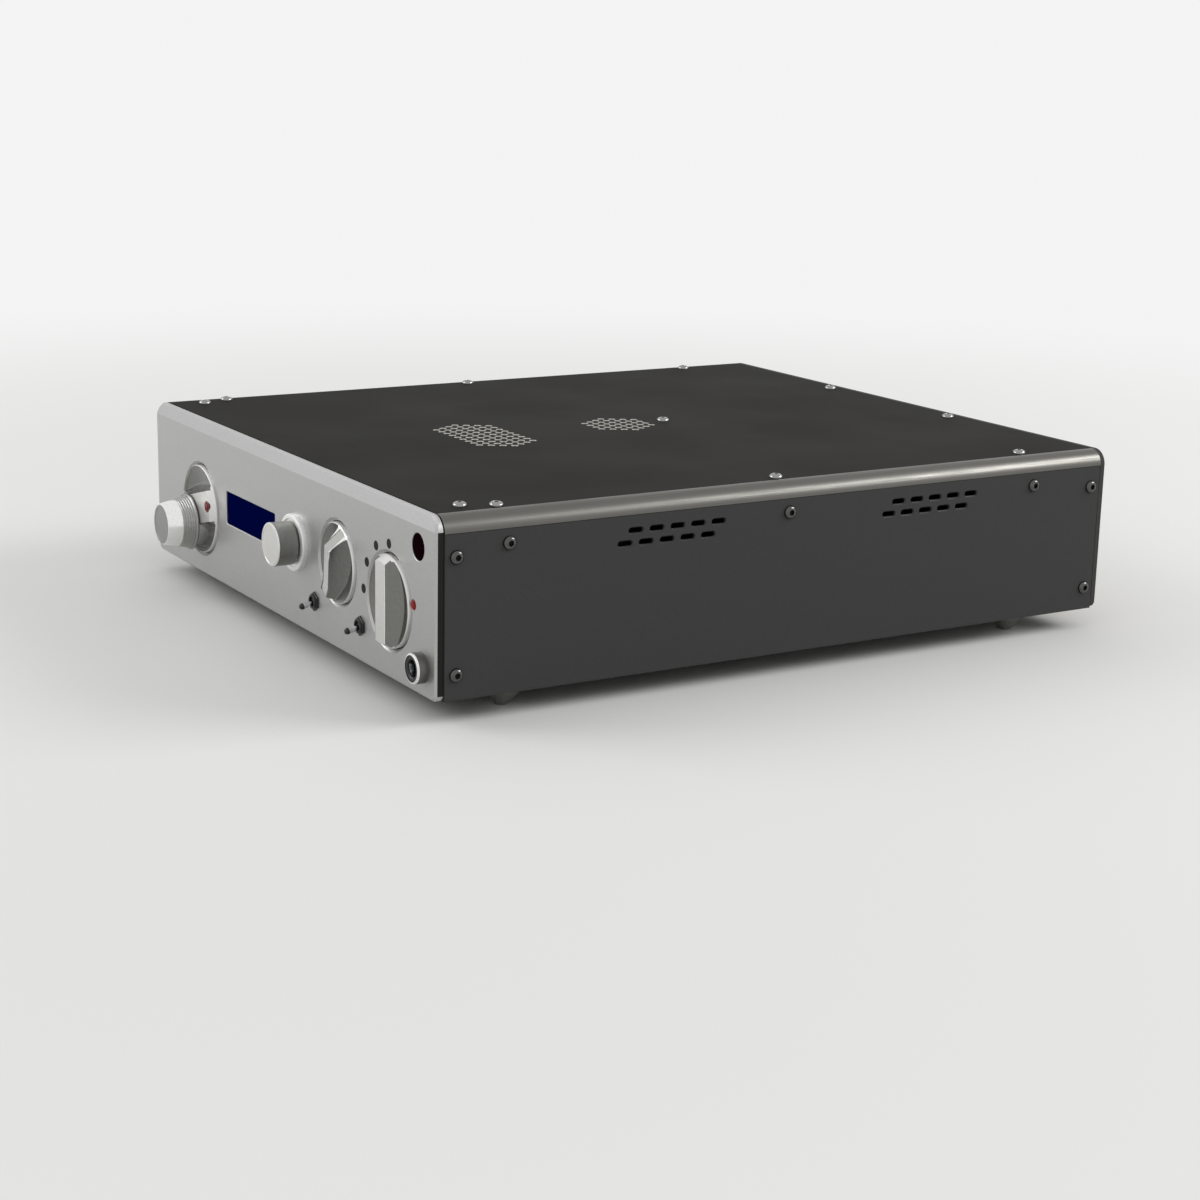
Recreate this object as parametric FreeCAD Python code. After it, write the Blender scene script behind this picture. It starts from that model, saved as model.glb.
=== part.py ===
import FreeCAD, Part
import math
import os

V = FreeCAD.Vector

# Compact preamplifier in a low aluminium case. All sizes are millimetres.
# Every piece is drawn in the case's own frame: X across the front, Y from the front face
# to the back, Z up from the case's lower edge. export() moves it to the part's frame,
# whose origin is the centre of the whole object's footprint, at the foot tips.

# Case
case_width = 280.0
case_depth = 319.5
case_height = 69.0
wall = 2.0
corner_radius = 6.4
seam = 0.15

# Front plate and the chassis plate behind it
front_thickness = 3.0
front_lower_radius = 3.0
front_edge_bevel = 0.8
top_band_height = 5.6
top_band_depth = 1.3
cover_gap = 0.6
cover_edge = 0.8
chassis_gap = 7.0
chassis_thickness = 2.0
chassis_margin = 3.0
pillar_across = 6.0
pillar_inset = 28.0
pillar_low_z = 6.5
pillar_high_z = 60.0

# Corner rails
rail_ledge = 12.0
rail_drop = 10.6
rail_wall = 2.0
rail_clearance = 1.0

# Rear panel
rear_thickness = 2.5
rear_flange = 12.0
rear_tab_margin = 12.0

# Bottom tray
tray_flange = 9.0
tray_flange_gap = 1.0
foot_height = 9.0
foot_top_radius = 9.0
foot_tip_radius = 2.6
foot_collar = 2.0
foot_side_inset = 16.0
foot_inset = 36.0

# Number of sides of the many-sided forms
dial_sides = 32
round_sides = 24
inner_sides = 10
small_sides = 8
vent_sides = 4

# Screws
screw_head_radius = 2.7
screw_crown_radius = 1.6
screw_head_height = 1.5
screw_radius = 1.5
screw_length = 5.0
screw_play = 0.05
hole_play = 0.2
screw_reach = 3.0
top_screw_inset = 10.4
edge_screw_front_y = 30.0
edge_screw_rear_inset = 39.5
edge_screw_rows = 3
side_screw_z = 57.0
end_screw_front_y = 8.4
end_screw_rear_inset = 7.5
end_screw_z = (9.7, 53.8)
rear_top_screw_x = 45.0
rear_top_screw_inset = 8.5
front_top_screw_inset = 15.4
front_top_screw_y = 17.5
shield_screw_gap = 23.5

# Vent slots in the side plates
slot_length = 6.1
slot_width = 1.9
slot_pitch = 9.35
slot_count = 5
slot_rows_z = (56.5, 51.7)
slot_row_step = 4.7
slot_first_y = 84.3
slot_group_step = 124.6
slot_groups = 2
slot_margin = 2.0

# Vent holes in the top plate, in a triangular grid
vent_pitch = 4.9
vent_hole = 2.6
vent_rows = 7
front_vent_y = 0.2961 * case_depth
front_vent_count = 12
rear_vent_y = 0.5055 * case_depth
rear_vent_count = 7

# Round controls: places on the front face, spread with the case's width
volume_x = -0.31 * case_width
volume_z = 29.0
balance_x = 0.05786 * case_width
balance_z = 34.9
input_x = 0.2 * case_width
input_z = 34.8
mode_x = 0.36357 * case_width
mode_z = 29.8

# Dished discs
dial_gap = 0.35
dial_bevel = 1.3
volume_disc_radius = 19.4
volume_bar_width = 14.0
volume_bar_height = 3.1
volume_bar_angle = 15.0
input_disc_radius = 16.2
input_bar_width = 11.0
input_bar_angle = 34.0
mode_disc_radius = 18.0
mode_bar_width = 9.0
mode_bar_angle = 90.0
selector_bar_height = 3.7
dish_depth = 2.6
trough_share = 0.85
trough_overrun = 1.0
dish_steps = (0.2, 0.5, 0.75, 0.9, 1.0)
dish_flare = 3.0
dish_clear = 5.0
rim_width = 0.7
rim_height = 0.4
disc_back = 4.4
disc_web = 0.8
hub_radius = 6.0
hub_length = 3.2
bar_end_bevel = 2.2

# Finger knob that turns on a pin of the volume disc
finger_across = 5.0
finger_along = 7.3
finger_rear_radius = 12.3
finger_front_radius = 9.1
finger_length = 13.5
finger_lip = 1.0
finger_lip_step = 0.6
finger_pin_radius = 2.5
finger_pin_length = 9.0
finger_pin_root = 1.0
running_play = 0.05

# Balance knob
balance_radius = 9.0
balance_length = 8.6
balance_collar_radius = 11.8
balance_collar_height = 2.3
turning_gap = 0.3
knob_edge = 0.4
knob_bore_share = 0.7
collar_edge = 0.6

# Control shafts, bushes and the bodies behind the chassis plate
shaft_radius = 3.0
bush_radius = 4.7
bush_length = 1.8
control_depth = 14.0
shaft_reach = 10.0
volume_body_radius = 13.5
volume_motor_radius = 8.0
volume_motor_length = 24.0
balance_body_radius = 12.0
switch_body_radius = 15.0
switch_wafer_count = 2
switch_wafer_pitch = 9.0
switch_wafer_thickness = 1.6
switch_rod_across = 3.0
switch_rod_spread = 10.5

# Display
display_left = -0.2043 * case_width
display_right = -0.0179 * case_width
display_low = 28.2
display_high = 42.2
display_recess = 0.6
display_lip = 2.0
display_lip_thickness = 1.4
display_fit = 0.15
display_module_margin = 4.0

# Small controls and sockets on the front
toggle_places = (("left", 0.1232 * case_width), ("right", 0.275 * case_width))
toggle_z = 14.4
toggle_bush_radius = 3.0
toggle_bore_radius = 2.1
toggle_bush_height = 1.6
toggle_bore_depth = 3.8
toggle_nut_across = 8.0
toggle_nut_height = 0.8
toggle_pivot_depth = 1.6
toggle_ball_radius = 1.6
toggle_heel_radius = 0.8
toggle_end_radius = 0.8
toggle_neck_radius = 0.8
toggle_tip_radius = 1.3
toggle_reach = 8.6
toggle_tilt = 12.0
toggle_pin_radius = 0.5
toggle_body_width = 8.0
toggle_body_height = 13.0
toggle_body_depth = 9.0
receiver_inset = 14.3
receiver_z = 55.5
receiver_radius = 5.0
receiver_recess = 0.3
receiver_lip = 1.5
receiver_lip_thickness = 1.2
receiver_module_width = 8.0
jack_inset = 11.0
jack_z = 11.0
jack_collar_radius = 5.9
jack_collar_height = 4.4
jack_bore_radius = 3.25
jack_mouth = 0.8
jack_inner_play = 0.4
jack_bush_radius = 4.6
jack_body_size = 11.0
jack_body_depth = 26.0
lamp_radius = 2.0
lamp_reach = 0.5
lamp_depth = 2.0
lamp_seat_depth = 2.5
volume_lamp_radius = 15.2
power_lamp_angle = 9.0
power_lamp_radius = 20.6

# Electronics
board_thickness = 1.6
board_height = 4.0
board_inset = 22.0
board_right = 0.25 * case_width
board_front = 55.0
board_gap = 9.0
board_hole_inset = 5.0
standoff_across = 5.5
standoff_nut_height = 2.0
tube_radius = 10.4
tube_height = 44.0
tube_shoulder = 7.3
tube_crown = 3.1
tube_crown_radius = 7.3
tube_tip_radius = 1.6
tube_socket_radius = 11.0
tube_socket_height = 7.0
tube_pair_x = 15.5
capacitor_radius = 9.0
capacitor_height = 32.0
capacitor_pitch = 22.0
capacitor_inset = 18.0
capacitor_first_y = 65.0
transformer_side_inset = 58.0
transformer_rear_inset = 73.5
transformer_radius = 41.0
transformer_hole = 11.0
transformer_height = 34.0
transformer_edge = 6.0
clamp_radius = 22.0
clamp_height = 2.0
clamp_bolt_radius = 2.5
clamp_head_across = 9.0
clamp_head_height = 3.0
heatsink_inset = 40.0
heatsink_y = 110.0
heatsink_length = 80.0
heatsink_base = 4.0
heatsink_height = 38.0
fin_count = 7
fin_thickness = 1.4
fin_reach = 14.0

# Rear sockets
phono_rows_z = (20.8, 40.8)
phono_inset = 18.0
phono_pitch = 19.0
phono_columns = 4
phono_barrel_radius = 4.15
phono_barrel_length = 9.0
phono_bore_radius = 1.75
phono_flange_radius = 6.0
phono_flange_height = 1.6
phono_body_radius = 4.6
phono_body_length = 10.0
phono_edge = 10.0
balanced_places = ((14.0, 31.0), (-16.0, 31.0))
balanced_width = 26.0
balanced_height = 31.0
balanced_corner = 3.0
balanced_flange = 2.0
balanced_core_radius = 8.0
balanced_shell_radius = 11.6
balanced_ring_gap = 1.5
balanced_depth = 18.0
balanced_pin_circle = 4.2
balanced_pin_hole = 1.3
balanced_pin_angles = (30.0, 150.0, 270.0)
inlet_inset = 36.0
inlet_z = 30.0
inlet_flange_width = 40.0
inlet_flange_height = 24.0
inlet_flange_thickness = 2.0
inlet_opening_width = 24.4
inlet_opening_height = 16.2
inlet_depth = 16.4
inlet_shell = 1.8
inlet_corner = 3.0
blade_width = 2.0
blade_height = 4.0
blade_pitch = 14.0
blade_length = 14.0
earth_inset = 80.0
earth_z = 18.0
earth_radius = 2.0
earth_length = 8.0
earth_nut_radius = 4.5
earth_nut_height = 3.5
earth_nut_edge = 0.6
earth_inner_length = 3.0
input_board_gap = 0.3
input_board_low = 2.0
input_board_foot = 8.0
input_board_foot_thickness = 3.0

half_width = case_width / 2.0
foot_x = half_width - foot_side_inset
pillar_x = half_width - pillar_inset
receiver_x = half_width - receiver_inset
jack_x = half_width - jack_inset
board_left = board_inset - half_width
transformer_x = transformer_side_inset - half_width
transformer_y = case_depth - transformer_rear_inset
board_rear = transformer_y - transformer_radius - board_gap
heatsink_x = half_width - heatsink_inset
inlet_x = inlet_inset - half_width
earth_x = earth_inset - half_width
front_reach = volume_bar_height + finger_length
rear_reach = phono_flange_height + phono_barrel_length
front_y = front_reach - (front_reach + case_depth + rear_reach) / 2.0
cover_front = front_thickness + cover_gap
cover_rear = case_depth - rear_thickness
chassis_y = front_thickness + chassis_gap
control_y = chassis_y + chassis_thickness
inner_side = half_width - wall
rail_top_x = half_width - corner_radius
rail_side_z = case_height - corner_radius


def export(name, shape):
    """Move a piece from the case's frame to the part's frame and write it."""
    placed = shape.copy()
    placed.translate(V(0, front_y, foot_height))
    placed.exportStep(os.path.join("parts", name + ".step"))


def box(x0, x1, y0, y1, z0, z1):
    return Part.makeBox(x1 - x0, y1 - y0, z1 - z0, V(x0, y0, z0))


def rod_x(y, z, x0, x1, r):
    return Part.makeCylinder(r, x1 - x0, V(x0, y, z), V(1, 0, 0))


def rod_y(x, z, y0, y1, r):
    return Part.makeCylinder(r, y1 - y0, V(x, y0, z), V(0, 1, 0))


def ring(sides, radius, height, turn=0.0):
    """Corners of a regular polygon about Z."""
    angles = [math.radians(360.0 / sides * i + turn) for i in range(sides)]
    return [(radius * math.cos(a), radius * math.sin(a), height) for a in angles]


def prism(sides, across, z0, z1):
    """Straight prism about Z, given its width across the flats."""
    r = across / 2.0 / math.cos(math.pi / sides)
    return polygon(ring(sides, r, z0, 180.0 / sides)).extrude(V(0, 0, z1 - z0))


def faceted(sides, points):
    """Many-sided solid about Z through rings given as (radius, height)."""
    rings = [ring(sides, r, h, 180.0 / sides) for r, h in points]
    faces = [polygon(rings[0]), polygon(rings[-1])]
    for low, high in zip(rings, rings[1:]):
        for i in range(sides):
            j = (i + 1) % sides
            faces.append(polygon([low[i], low[j], high[j], high[i]]))
    return Part.Solid(Part.Shell(faces))


def moved(shape, x, y, z):
    shape.translate(V(x, y, z))
    return shape


def polygon(points):
    return Part.Face(Part.makePolygon([V(*p) for p in points] + [V(*points[0])]))


def on_panel(shape, x, z):
    """Stand a piece drawn along +Z out of the front face, at a place on it."""
    placed = shape.copy()
    placed.rotate(V(0, 0, 0), V(1, 0, 0), 90)
    return moved(placed, x, 0, z)


def on_rear(shape, x, z):
    """Stand a piece drawn along +Z out of the rear panel, at a place on it."""
    placed = shape.copy()
    placed.rotate(V(0, 0, 0), V(1, 0, 0), -90)
    return moved(placed, x, case_depth, z)


def group(shapes):
    return Part.makeCompound(shapes)


def cut_all(shape, tools):
    return shape.cut(Part.makeCompound(tools)) if tools else shape


def rounded_face(x0, x1, z0, z1, top_radius, low_radius):
    """Upright rectangle in the XZ plane with rounded corners."""
    t = top_radius
    b = low_radius
    k = math.sqrt(0.5)
    edges = [
        Part.LineSegment(V(x0 + b, 0, z0), V(x1 - b, 0, z0)),
        Part.Arc(V(x1 - b, 0, z0), V(x1 - b + b * k, 0, z0 + b - b * k), V(x1, 0, z0 + b)),
        Part.LineSegment(V(x1, 0, z0 + b), V(x1, 0, z1 - t)),
        Part.Arc(V(x1, 0, z1 - t), V(x1 - t + t * k, 0, z1 - t + t * k), V(x1 - t, 0, z1)),
        Part.LineSegment(V(x1 - t, 0, z1), V(x0 + t, 0, z1)),
        Part.Arc(V(x0 + t, 0, z1), V(x0 + t - t * k, 0, z1 - t + t * k), V(x0, 0, z1 - t)),
        Part.LineSegment(V(x0, 0, z1 - t), V(x0, 0, z0 + b)),
        Part.Arc(V(x0, 0, z0 + b), V(x0 + b - b * k, 0, z0 + b - b * k), V(x0 + b, 0, z0)),
    ]
    return Part.Face(Part.Wire([e.toShape() for e in edges]))


def mirrored(shape):
    return shape.mirror(V(0, 0, 0), V(1, 0, 0))


# Front plate

def dial_recess(x, z, disc_radius):
    """Through hole for a dished disc, with a bevelled mouth."""
    hole = disc_radius + dial_gap
    tool = faceted(dial_sides, [(hole, -front_thickness - 1), (hole, -dial_bevel),
                                (hole + dial_bevel, 0), (hole + dial_bevel, 1)])
    return on_panel(tool, x, z)


def panel_hole(x, z, sides, radius):
    """Many-sided hole through the front plate that clears the given radius."""
    return on_panel(prism(sides, 2 * radius, -front_thickness - 1, 1), x, z)


def display_opening():
    return box(display_left, display_right, -1, front_thickness + 1, display_low, display_high)


def front_plate():
    face = rounded_face(-half_width, half_width, 0, case_height, corner_radius, front_lower_radius)
    plate = face.extrude(V(0, front_thickness, 0))
    rim = [e for e in plate.Edges if e.BoundBox.YMax < 0.01]
    plate = plate.makeChamfer(front_edge_bevel, rim)
    low = case_height - top_band_height
    high = case_height + 1.0
    slope = top_band_depth / top_band_height
    wedge = polygon([(-half_width - 1, 0, low), (-half_width - 1, slope * (high - low), high),
                     (-half_width - 1, -1, high), (-half_width - 1, -1, low)])
    tools = [
        wedge.extrude(V(case_width + 2, 0, 0)),
        dial_recess(volume_x, volume_z, volume_disc_radius),
        dial_recess(input_x, input_z, input_disc_radius),
        dial_recess(mode_x, mode_z, mode_disc_radius),
        display_opening(),
        panel_hole(balance_x, balance_z, inner_sides, hub_radius),
        panel_hole(receiver_x, receiver_z, round_sides, receiver_radius + display_fit),
        panel_hole(jack_x, jack_z, inner_sides, jack_bush_radius + screw_play),
        power_lamp(screw_play),
    ]
    for _, x in toggle_places:
        tools.append(panel_hole(x, toggle_z, small_sides, toggle_bush_radius + screw_play))
    return cut_all(plate, tools)


def power_lamp(play=0.0):
    """Small lamp set in the plate beside the mode selector, or with play the hole for it."""
    a = math.radians(power_lamp_angle)
    x = mode_x + power_lamp_radius * math.cos(a)
    z = mode_z + power_lamp_radius * math.sin(a)
    lamp = prism(inner_sides, 2 * (lamp_radius + play), -lamp_seat_depth - play, lamp_reach)
    return on_panel(lamp, x, z)


def pillar_places():
    return [(sx * pillar_x, z) for sx in (-1, 1) for z in (pillar_low_z, pillar_high_z)]


def front_pillars():
    pillar = prism(6, pillar_across, -chassis_y, -front_thickness)
    return group([on_panel(pillar, x, z) for x, z in pillar_places()])


def chassis_high():
    return case_height - wall - rail_wall - chassis_margin


def flange_high():
    """Height of the side flanges that the lowest cover screws go into."""
    return rail_side_z - rail_drop + corner_radius - chassis_margin


def chassis_plate():
    """Inner front plate that carries the controls, with returned side flanges."""
    low = wall + screw_play
    side = inner_side - screw_play
    plate = box(-side, side, chassis_y, control_y, low, chassis_high())
    tools = []
    for s in (-1, 1):
        x0, x1 = sorted((s * side, s * (side - wall)))
        plate = plate.fuse(box(x0, x1, cover_front, chassis_y, low, flange_high()))
    for x, z in ((volume_x, volume_z), (balance_x, balance_z), (input_x, input_z), (mode_x, mode_z)):
        hole = prism(small_sides, 2 * (bush_radius + hole_play), -control_y - 1, 1 - chassis_y)
        tools.append(on_panel(hole, x, z))
    for _, x in toggle_places:
        w = toggle_body_width / 2.0 + hole_play
        h = toggle_body_height / 2.0 + hole_play
        tools.append(box(x - w, x + w, chassis_y - 1, control_y + 1, toggle_z - h, toggle_z + h))
    w = jack_body_size / 2.0 + hole_play
    tools.append(box(jack_x - w, jack_x + w, chassis_y - 1, control_y + 1, jack_z - w, jack_z + w))
    tools.extend(side_holes(screw_play, True))
    return cut_all(plate.removeSplitter(), tools)


# Covers and rails

def rail_notches():
    """Spaces cut out of the rail's side ledge: for the end flanges and behind the side slots."""
    x0 = inner_side - rail_wall - 1
    low = rail_side_z - rail_drop - 1
    c = rail_clearance
    front = box(x0, inner_side, 0, control_y + c, low, chassis_high() + c)
    rear = box(x0, inner_side, cover_rear - rear_flange - c, case_depth, low, flange_high() + c)
    notches = [front, rear]
    slots_high = max(slot_rows_z) + slot_width / 2.0 + slot_margin
    for y in slot_group_starts():
        first = y - slot_row_step - slot_length / 2.0 - slot_margin
        last = y + (slot_count - 1) * slot_pitch + slot_length / 2.0 + slot_margin
        notches.append(box(x0, inner_side, first, last, low, slots_high))
    return notches


def corner_rail():
    """Right-hand rail: a rounded outer corner with a ledge under each cover."""
    k = math.sqrt(0.5)
    r = corner_radius
    top = case_height
    arc = Part.Arc(V(half_width, 0, top - r), V(half_width - r + r * k, 0, top - r + r * k),
                   V(half_width - r, 0, top))
    points = [
        (half_width - r, top),
        (half_width - r, top - wall),
        (half_width - r - rail_ledge, top - wall),
        (half_width - r - rail_ledge, top - wall - rail_wall),
        (inner_side - rail_wall, top - wall - rail_wall),
        (inner_side - rail_wall, top - r - rail_drop),
        (inner_side, top - r - rail_drop),
        (inner_side, top - r),
        (half_width, top - r),
    ]
    edges = [Part.makeLine(V(a[0], 0, a[1]), V(b[0], 0, b[1])) for a, b in zip(points, points[1:])]
    face = Part.Face(Part.Wire(Part.__sortEdges__([arc.toShape()] + edges)))
    rail = face.extrude(V(0, cover_rear - cover_front, 0))
    rail.translate(V(0, cover_front, 0))
    holes = side_holes(screw_play, True) + top_holes(screw_play)
    return cut_all(rail, rail_notches() + holes)


def edge_screw_ys():
    """Places along the case of the screws in each long edge."""
    span = case_depth - edge_screw_rear_inset - edge_screw_front_y
    return [edge_screw_front_y + span * i / (edge_screw_rows - 1) for i in range(edge_screw_rows)]


def side_places():
    """Places (y, z) of the screws in each side: along the rail, then at the two ends."""
    rear = case_depth - end_screw_rear_inset
    places = [(y, side_screw_z) for y in edge_screw_ys()]
    places += [(end_screw_front_y, z) for z in end_screw_z]
    places += [(rear, z) for z in end_screw_z]
    return places


def top_places():
    """Places (x, y) of the screws in the top: two edge rows, rear pair, front pair and one between."""
    rear = case_depth - rear_top_screw_inset
    side = half_width - top_screw_inset
    front = half_width - front_top_screw_inset
    places = [(s * side, y) for s in (-1, 1) for y in edge_screw_ys()]
    places += [(s * rear_top_screw_x, rear) for s in (-1, 1)]
    places += [(s * front, front_top_screw_y) for s in (-1, 1)]
    places.append((0, rear_vent_y + shield_screw_gap))
    return places


def screw_hole(play):
    """Hole for a cover screw, drawn along +Z below its head."""
    return prism(6, 2 * (screw_radius + play), -screw_length - wall - screw_reach, 1)


def side_holes(play, both):
    hole = screw_hole(play)
    hole.rotate(V(0, 0, 0), V(0, 1, 0), 90)
    holes = [moved(hole.copy(), half_width, y, z) for y, z in side_places()]
    if both:
        holes += [mirrored(h) for h in holes]
    return holes


def top_holes(play):
    return [moved(screw_hole(play), x, y, case_height) for x, y in top_places()]


def slot_group_starts():
    return [slot_first_y + g * slot_group_step for g in range(slot_groups)]


def slot_tool(y, z):
    """One slot through the right side plate."""
    end = slot_length / 2.0
    r = slot_width / 2.0
    return box(inner_side - 1, half_width + 1, y - end, y + end, z - r, z + r)


def slot_tools():
    tools = []
    for start in slot_group_starts():
        for row, z in enumerate(slot_rows_z):
            for i in range(slot_count):
                tools.append(slot_tool(start - row * slot_row_step + i * slot_pitch, z))
    return tools


def side_plate():
    plate = box(inner_side, half_width, cover_front, cover_rear, 0, rail_side_z - seam)
    lower = [e for e in plate.Edges if e.BoundBox.XMin > half_width - 0.01 and e.BoundBox.ZMax < 0.01]
    plate = plate.makeChamfer(cover_edge, lower)
    return cut_all(plate, side_holes(hole_play, False) + slot_tools())


def vent_hole_tool(x, y):
    return moved(prism(vent_sides, vent_hole, -wall - 1, 1), x, y, case_height)


def vent_patch(y0, middle_count):
    """Hexagonal patch of vent holes whose middle row holds the given number."""
    tools = []
    middle = (vent_rows - 1) // 2
    for row in range(vent_rows):
        step = row - middle
        count = middle_count - abs(step)
        y = y0 + step * vent_pitch * math.sqrt(0.75)
        for i in range(count):
            tools.append(vent_hole_tool((i - (count - 1) / 2.0) * vent_pitch, y))
    return tools


def top_plate():
    x = rail_top_x - seam
    plate = box(-x, x, cover_front, cover_rear, case_height - wall, case_height)
    tools = vent_patch(front_vent_y, front_vent_count) + vent_patch(rear_vent_y, rear_vent_count)
    return cut_all(plate, tools + top_holes(hole_play))


def bottom_tray():
    side = inner_side - screw_play
    tray = box(-side, side, cover_front, cover_rear, 0, wall)
    y0 = control_y + tray_flange_gap
    y1 = cover_rear - rear_flange - tray_flange_gap
    for s in (-1, 1):
        x0, x1 = sorted((s * side, s * (side - wall)))
        tray = tray.fuse(box(x0, x1, y0, y1, wall, tray_flange))
    tools = [moved(prism(6, 2 * (screw_radius + hole_play), -1, wall + 1), x, y, 0)
             for x, y in foot_places()]
    bolt_hole = prism(6, 2 * (clamp_bolt_radius + screw_play), -1, wall + 1)
    tools.append(moved(bolt_hole, transformer_x, transformer_y, 0))
    return cut_all(tray.removeSplitter(), tools)


def rear_panel():
    """Rear panel with side and top flanges that take the cover screws."""
    face = rounded_face(-half_width, half_width, 0, case_height, corner_radius, front_lower_radius)
    panel = face.extrude(V(0, rear_thickness, 0))
    panel.translate(V(0, cover_rear, 0))
    y0 = cover_rear - rear_flange
    side = inner_side - screw_play
    for s in (-1, 1):
        x0, x1 = sorted((s * side, s * (side - wall)))
        panel = panel.fuse(box(x0, x1, y0, cover_rear, wall + screw_play, flange_high()))
    tab = rear_top_screw_x + rear_tab_margin
    under = case_height - wall - screw_play
    panel = panel.fuse(box(-tab, tab, y0, cover_rear, under - wall, under))
    tools = side_holes(screw_play, True) + top_holes(screw_play)
    low = -rear_thickness - 1
    for x, z in phono_places():
        tools.append(on_rear(prism(6, 2 * (phono_body_radius + screw_play), low, 1), x, z))
    for x, z in balanced_places:
        tools.append(on_rear(prism(2 * inner_sides, 2 * (balanced_shell_radius + screw_play), low, 1), x, z))
    w = inlet_opening_width / 2.0 + inlet_shell + screw_play
    h = inlet_opening_height / 2.0 + inlet_shell + screw_play
    tools.append(box(inlet_x - w, inlet_x + w, cover_rear - 1, case_depth + 1, inlet_z - h, inlet_z + h))
    tools.append(on_rear(prism(inner_sides, 2 * (earth_radius + screw_play), low, 1), earth_x, earth_z))
    return cut_all(panel.removeSplitter(), tools)


# Feet and screws

def foot_places():
    ys = (foot_inset, case_depth - foot_inset)
    return [(s * foot_x, y) for y in ys for s in (-1, 1)]


def foot(x, y):
    """Cone foot with a short collar and a small flat tip, tapped for a screw from inside."""
    cone = faceted(round_sides, [(foot_tip_radius, -foot_height), (foot_top_radius, -foot_collar),
                                 (foot_top_radius, 0)])
    bore = prism(6, 2 * (screw_radius + screw_play), -screw_length, 0)
    return moved(cone.cut(bore), x, y, 0)


def screw():
    """Plain screw drawn along +Z: domed head above zero, shank below."""
    head = faceted(6, [(screw_head_radius, 0), (screw_crown_radius, screw_head_height)])
    return head.fuse(prism(6, 2 * screw_radius, -screw_length, 0)).removeSplitter()


def side_screws():
    screws = []
    for y, z in side_places():
        s = screw()
        s.rotate(V(0, 0, 0), V(0, 1, 0), 90)
        s.translate(V(half_width, y, z))
        screws += [s, mirrored(s)]
    return group(screws)


def top_screws():
    screws = []
    for x, y in top_places():
        s = screw()
        s.translate(V(x, y, case_height))
        screws.append(s)
    return group(screws)


def foot_screws():
    screws = []
    for x, y in foot_places():
        s = screw()
        s.translate(V(x, y, wall))
        screws.append(s)
    return group(screws)


# Dished discs and knobs

def dished_disc(radius, bar_width, bar_height, boss=None):
    """Disc with a raised bar along local Y and a concave hollow each side of it.

    The hollow is the meeting of a straight trough beside the bar and a shallow dish,
    so its floor sweeps down from the bar and up again to the rim all round.
    """
    crown = faceted(dial_sides, [(radius, -disc_back), (radius, rim_height),
                                 (radius - bar_end_bevel, bar_height)])
    inner = radius - rim_width
    top = bar_height + dish_clear
    floor = [(inner * k, -dish_depth * (1 - k * k)) for k in dish_steps]
    dish = faceted(dial_sides, floor + [(inner + dish_flare, top)])
    edge = bar_width / 2.0
    out = radius + trough_overrun
    low = V((edge + radius) / 2.0, 0, -dish_depth * trough_share)
    side = [Part.Arc(V(edge, 0, bar_height), low, V(out, 0, 0)).toShape(),
            Part.makeLine(V(out, 0, 0), V(out, 0, top)),
            Part.makeLine(V(out, 0, top), V(edge, 0, top)),
            Part.makeLine(V(edge, 0, top), V(edge, 0, bar_height))]
    trough = Part.Face(Part.Wire(side)).extrude(V(0, 2 * out, 0))
    trough.translate(V(0, -out, 0))
    hollows = trough.fuse(mirrored(trough)).common(dish)
    if boss:
        x, y, r = boss
        hollows = hollows.cut(moved(prism(round_sides, 2 * r, -dish_clear, top), x, y, 0))
    return crown.cut(hollows)


def hub():
    """Hub behind a disc."""
    return prism(inner_sides, 2 * hub_radius, -disc_back - hub_length, -disc_back)


def shaft_bore():
    """Bore of a disc and its hub, whose flats grip the shaft."""
    return prism(inner_sides, 2 * shaft_radius, -disc_back - hub_length - 1, -dish_depth - disc_web)


def selector_disc(radius, bar_width, bar_angle, x, z):
    disc = dished_disc(radius, bar_width, selector_bar_height)
    disc = disc.fuse(hub()).cut(shaft_bore())
    disc.rotate(V(0, 0, 0), V(0, 0, 1), bar_angle - 90)
    return on_panel(disc, x, z)


def volume_disc():
    """Volume disc with its boss and pin for the finger knob, and a seat for its lamp."""
    boss_radius = volume_disc_radius - math.hypot(finger_across, finger_along)
    boss = (finger_across, -finger_along, boss_radius)
    disc = dished_disc(volume_disc_radius, volume_bar_width, volume_bar_height, boss)
    root = V(finger_across, -finger_along, volume_bar_height - finger_pin_root)
    pin = Part.makeCylinder(finger_pin_radius, finger_pin_length + finger_pin_root, root)
    disc = disc.fuse(pin).fuse(hub()).cut(shaft_bore()).cut(volume_lamp_form(screw_play))
    disc.rotate(V(0, 0, 0), V(0, 0, 1), volume_bar_angle - 90)
    return on_panel(disc, volume_x, volume_z)


def volume_lamp_form(play=0.0):
    """Lamp on the bar of the volume disc, or with play the seat for it."""
    lamp = prism(inner_sides, 2 * (lamp_radius + play), -lamp_depth - play, lamp_reach)
    return moved(lamp, 0, volume_lamp_radius, volume_bar_height)


def volume_lamp():
    lamp = volume_lamp_form()
    lamp.rotate(V(0, 0, 0), V(0, 0, 1), volume_bar_angle - 90)
    return on_panel(lamp, volume_x, volume_z)


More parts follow.
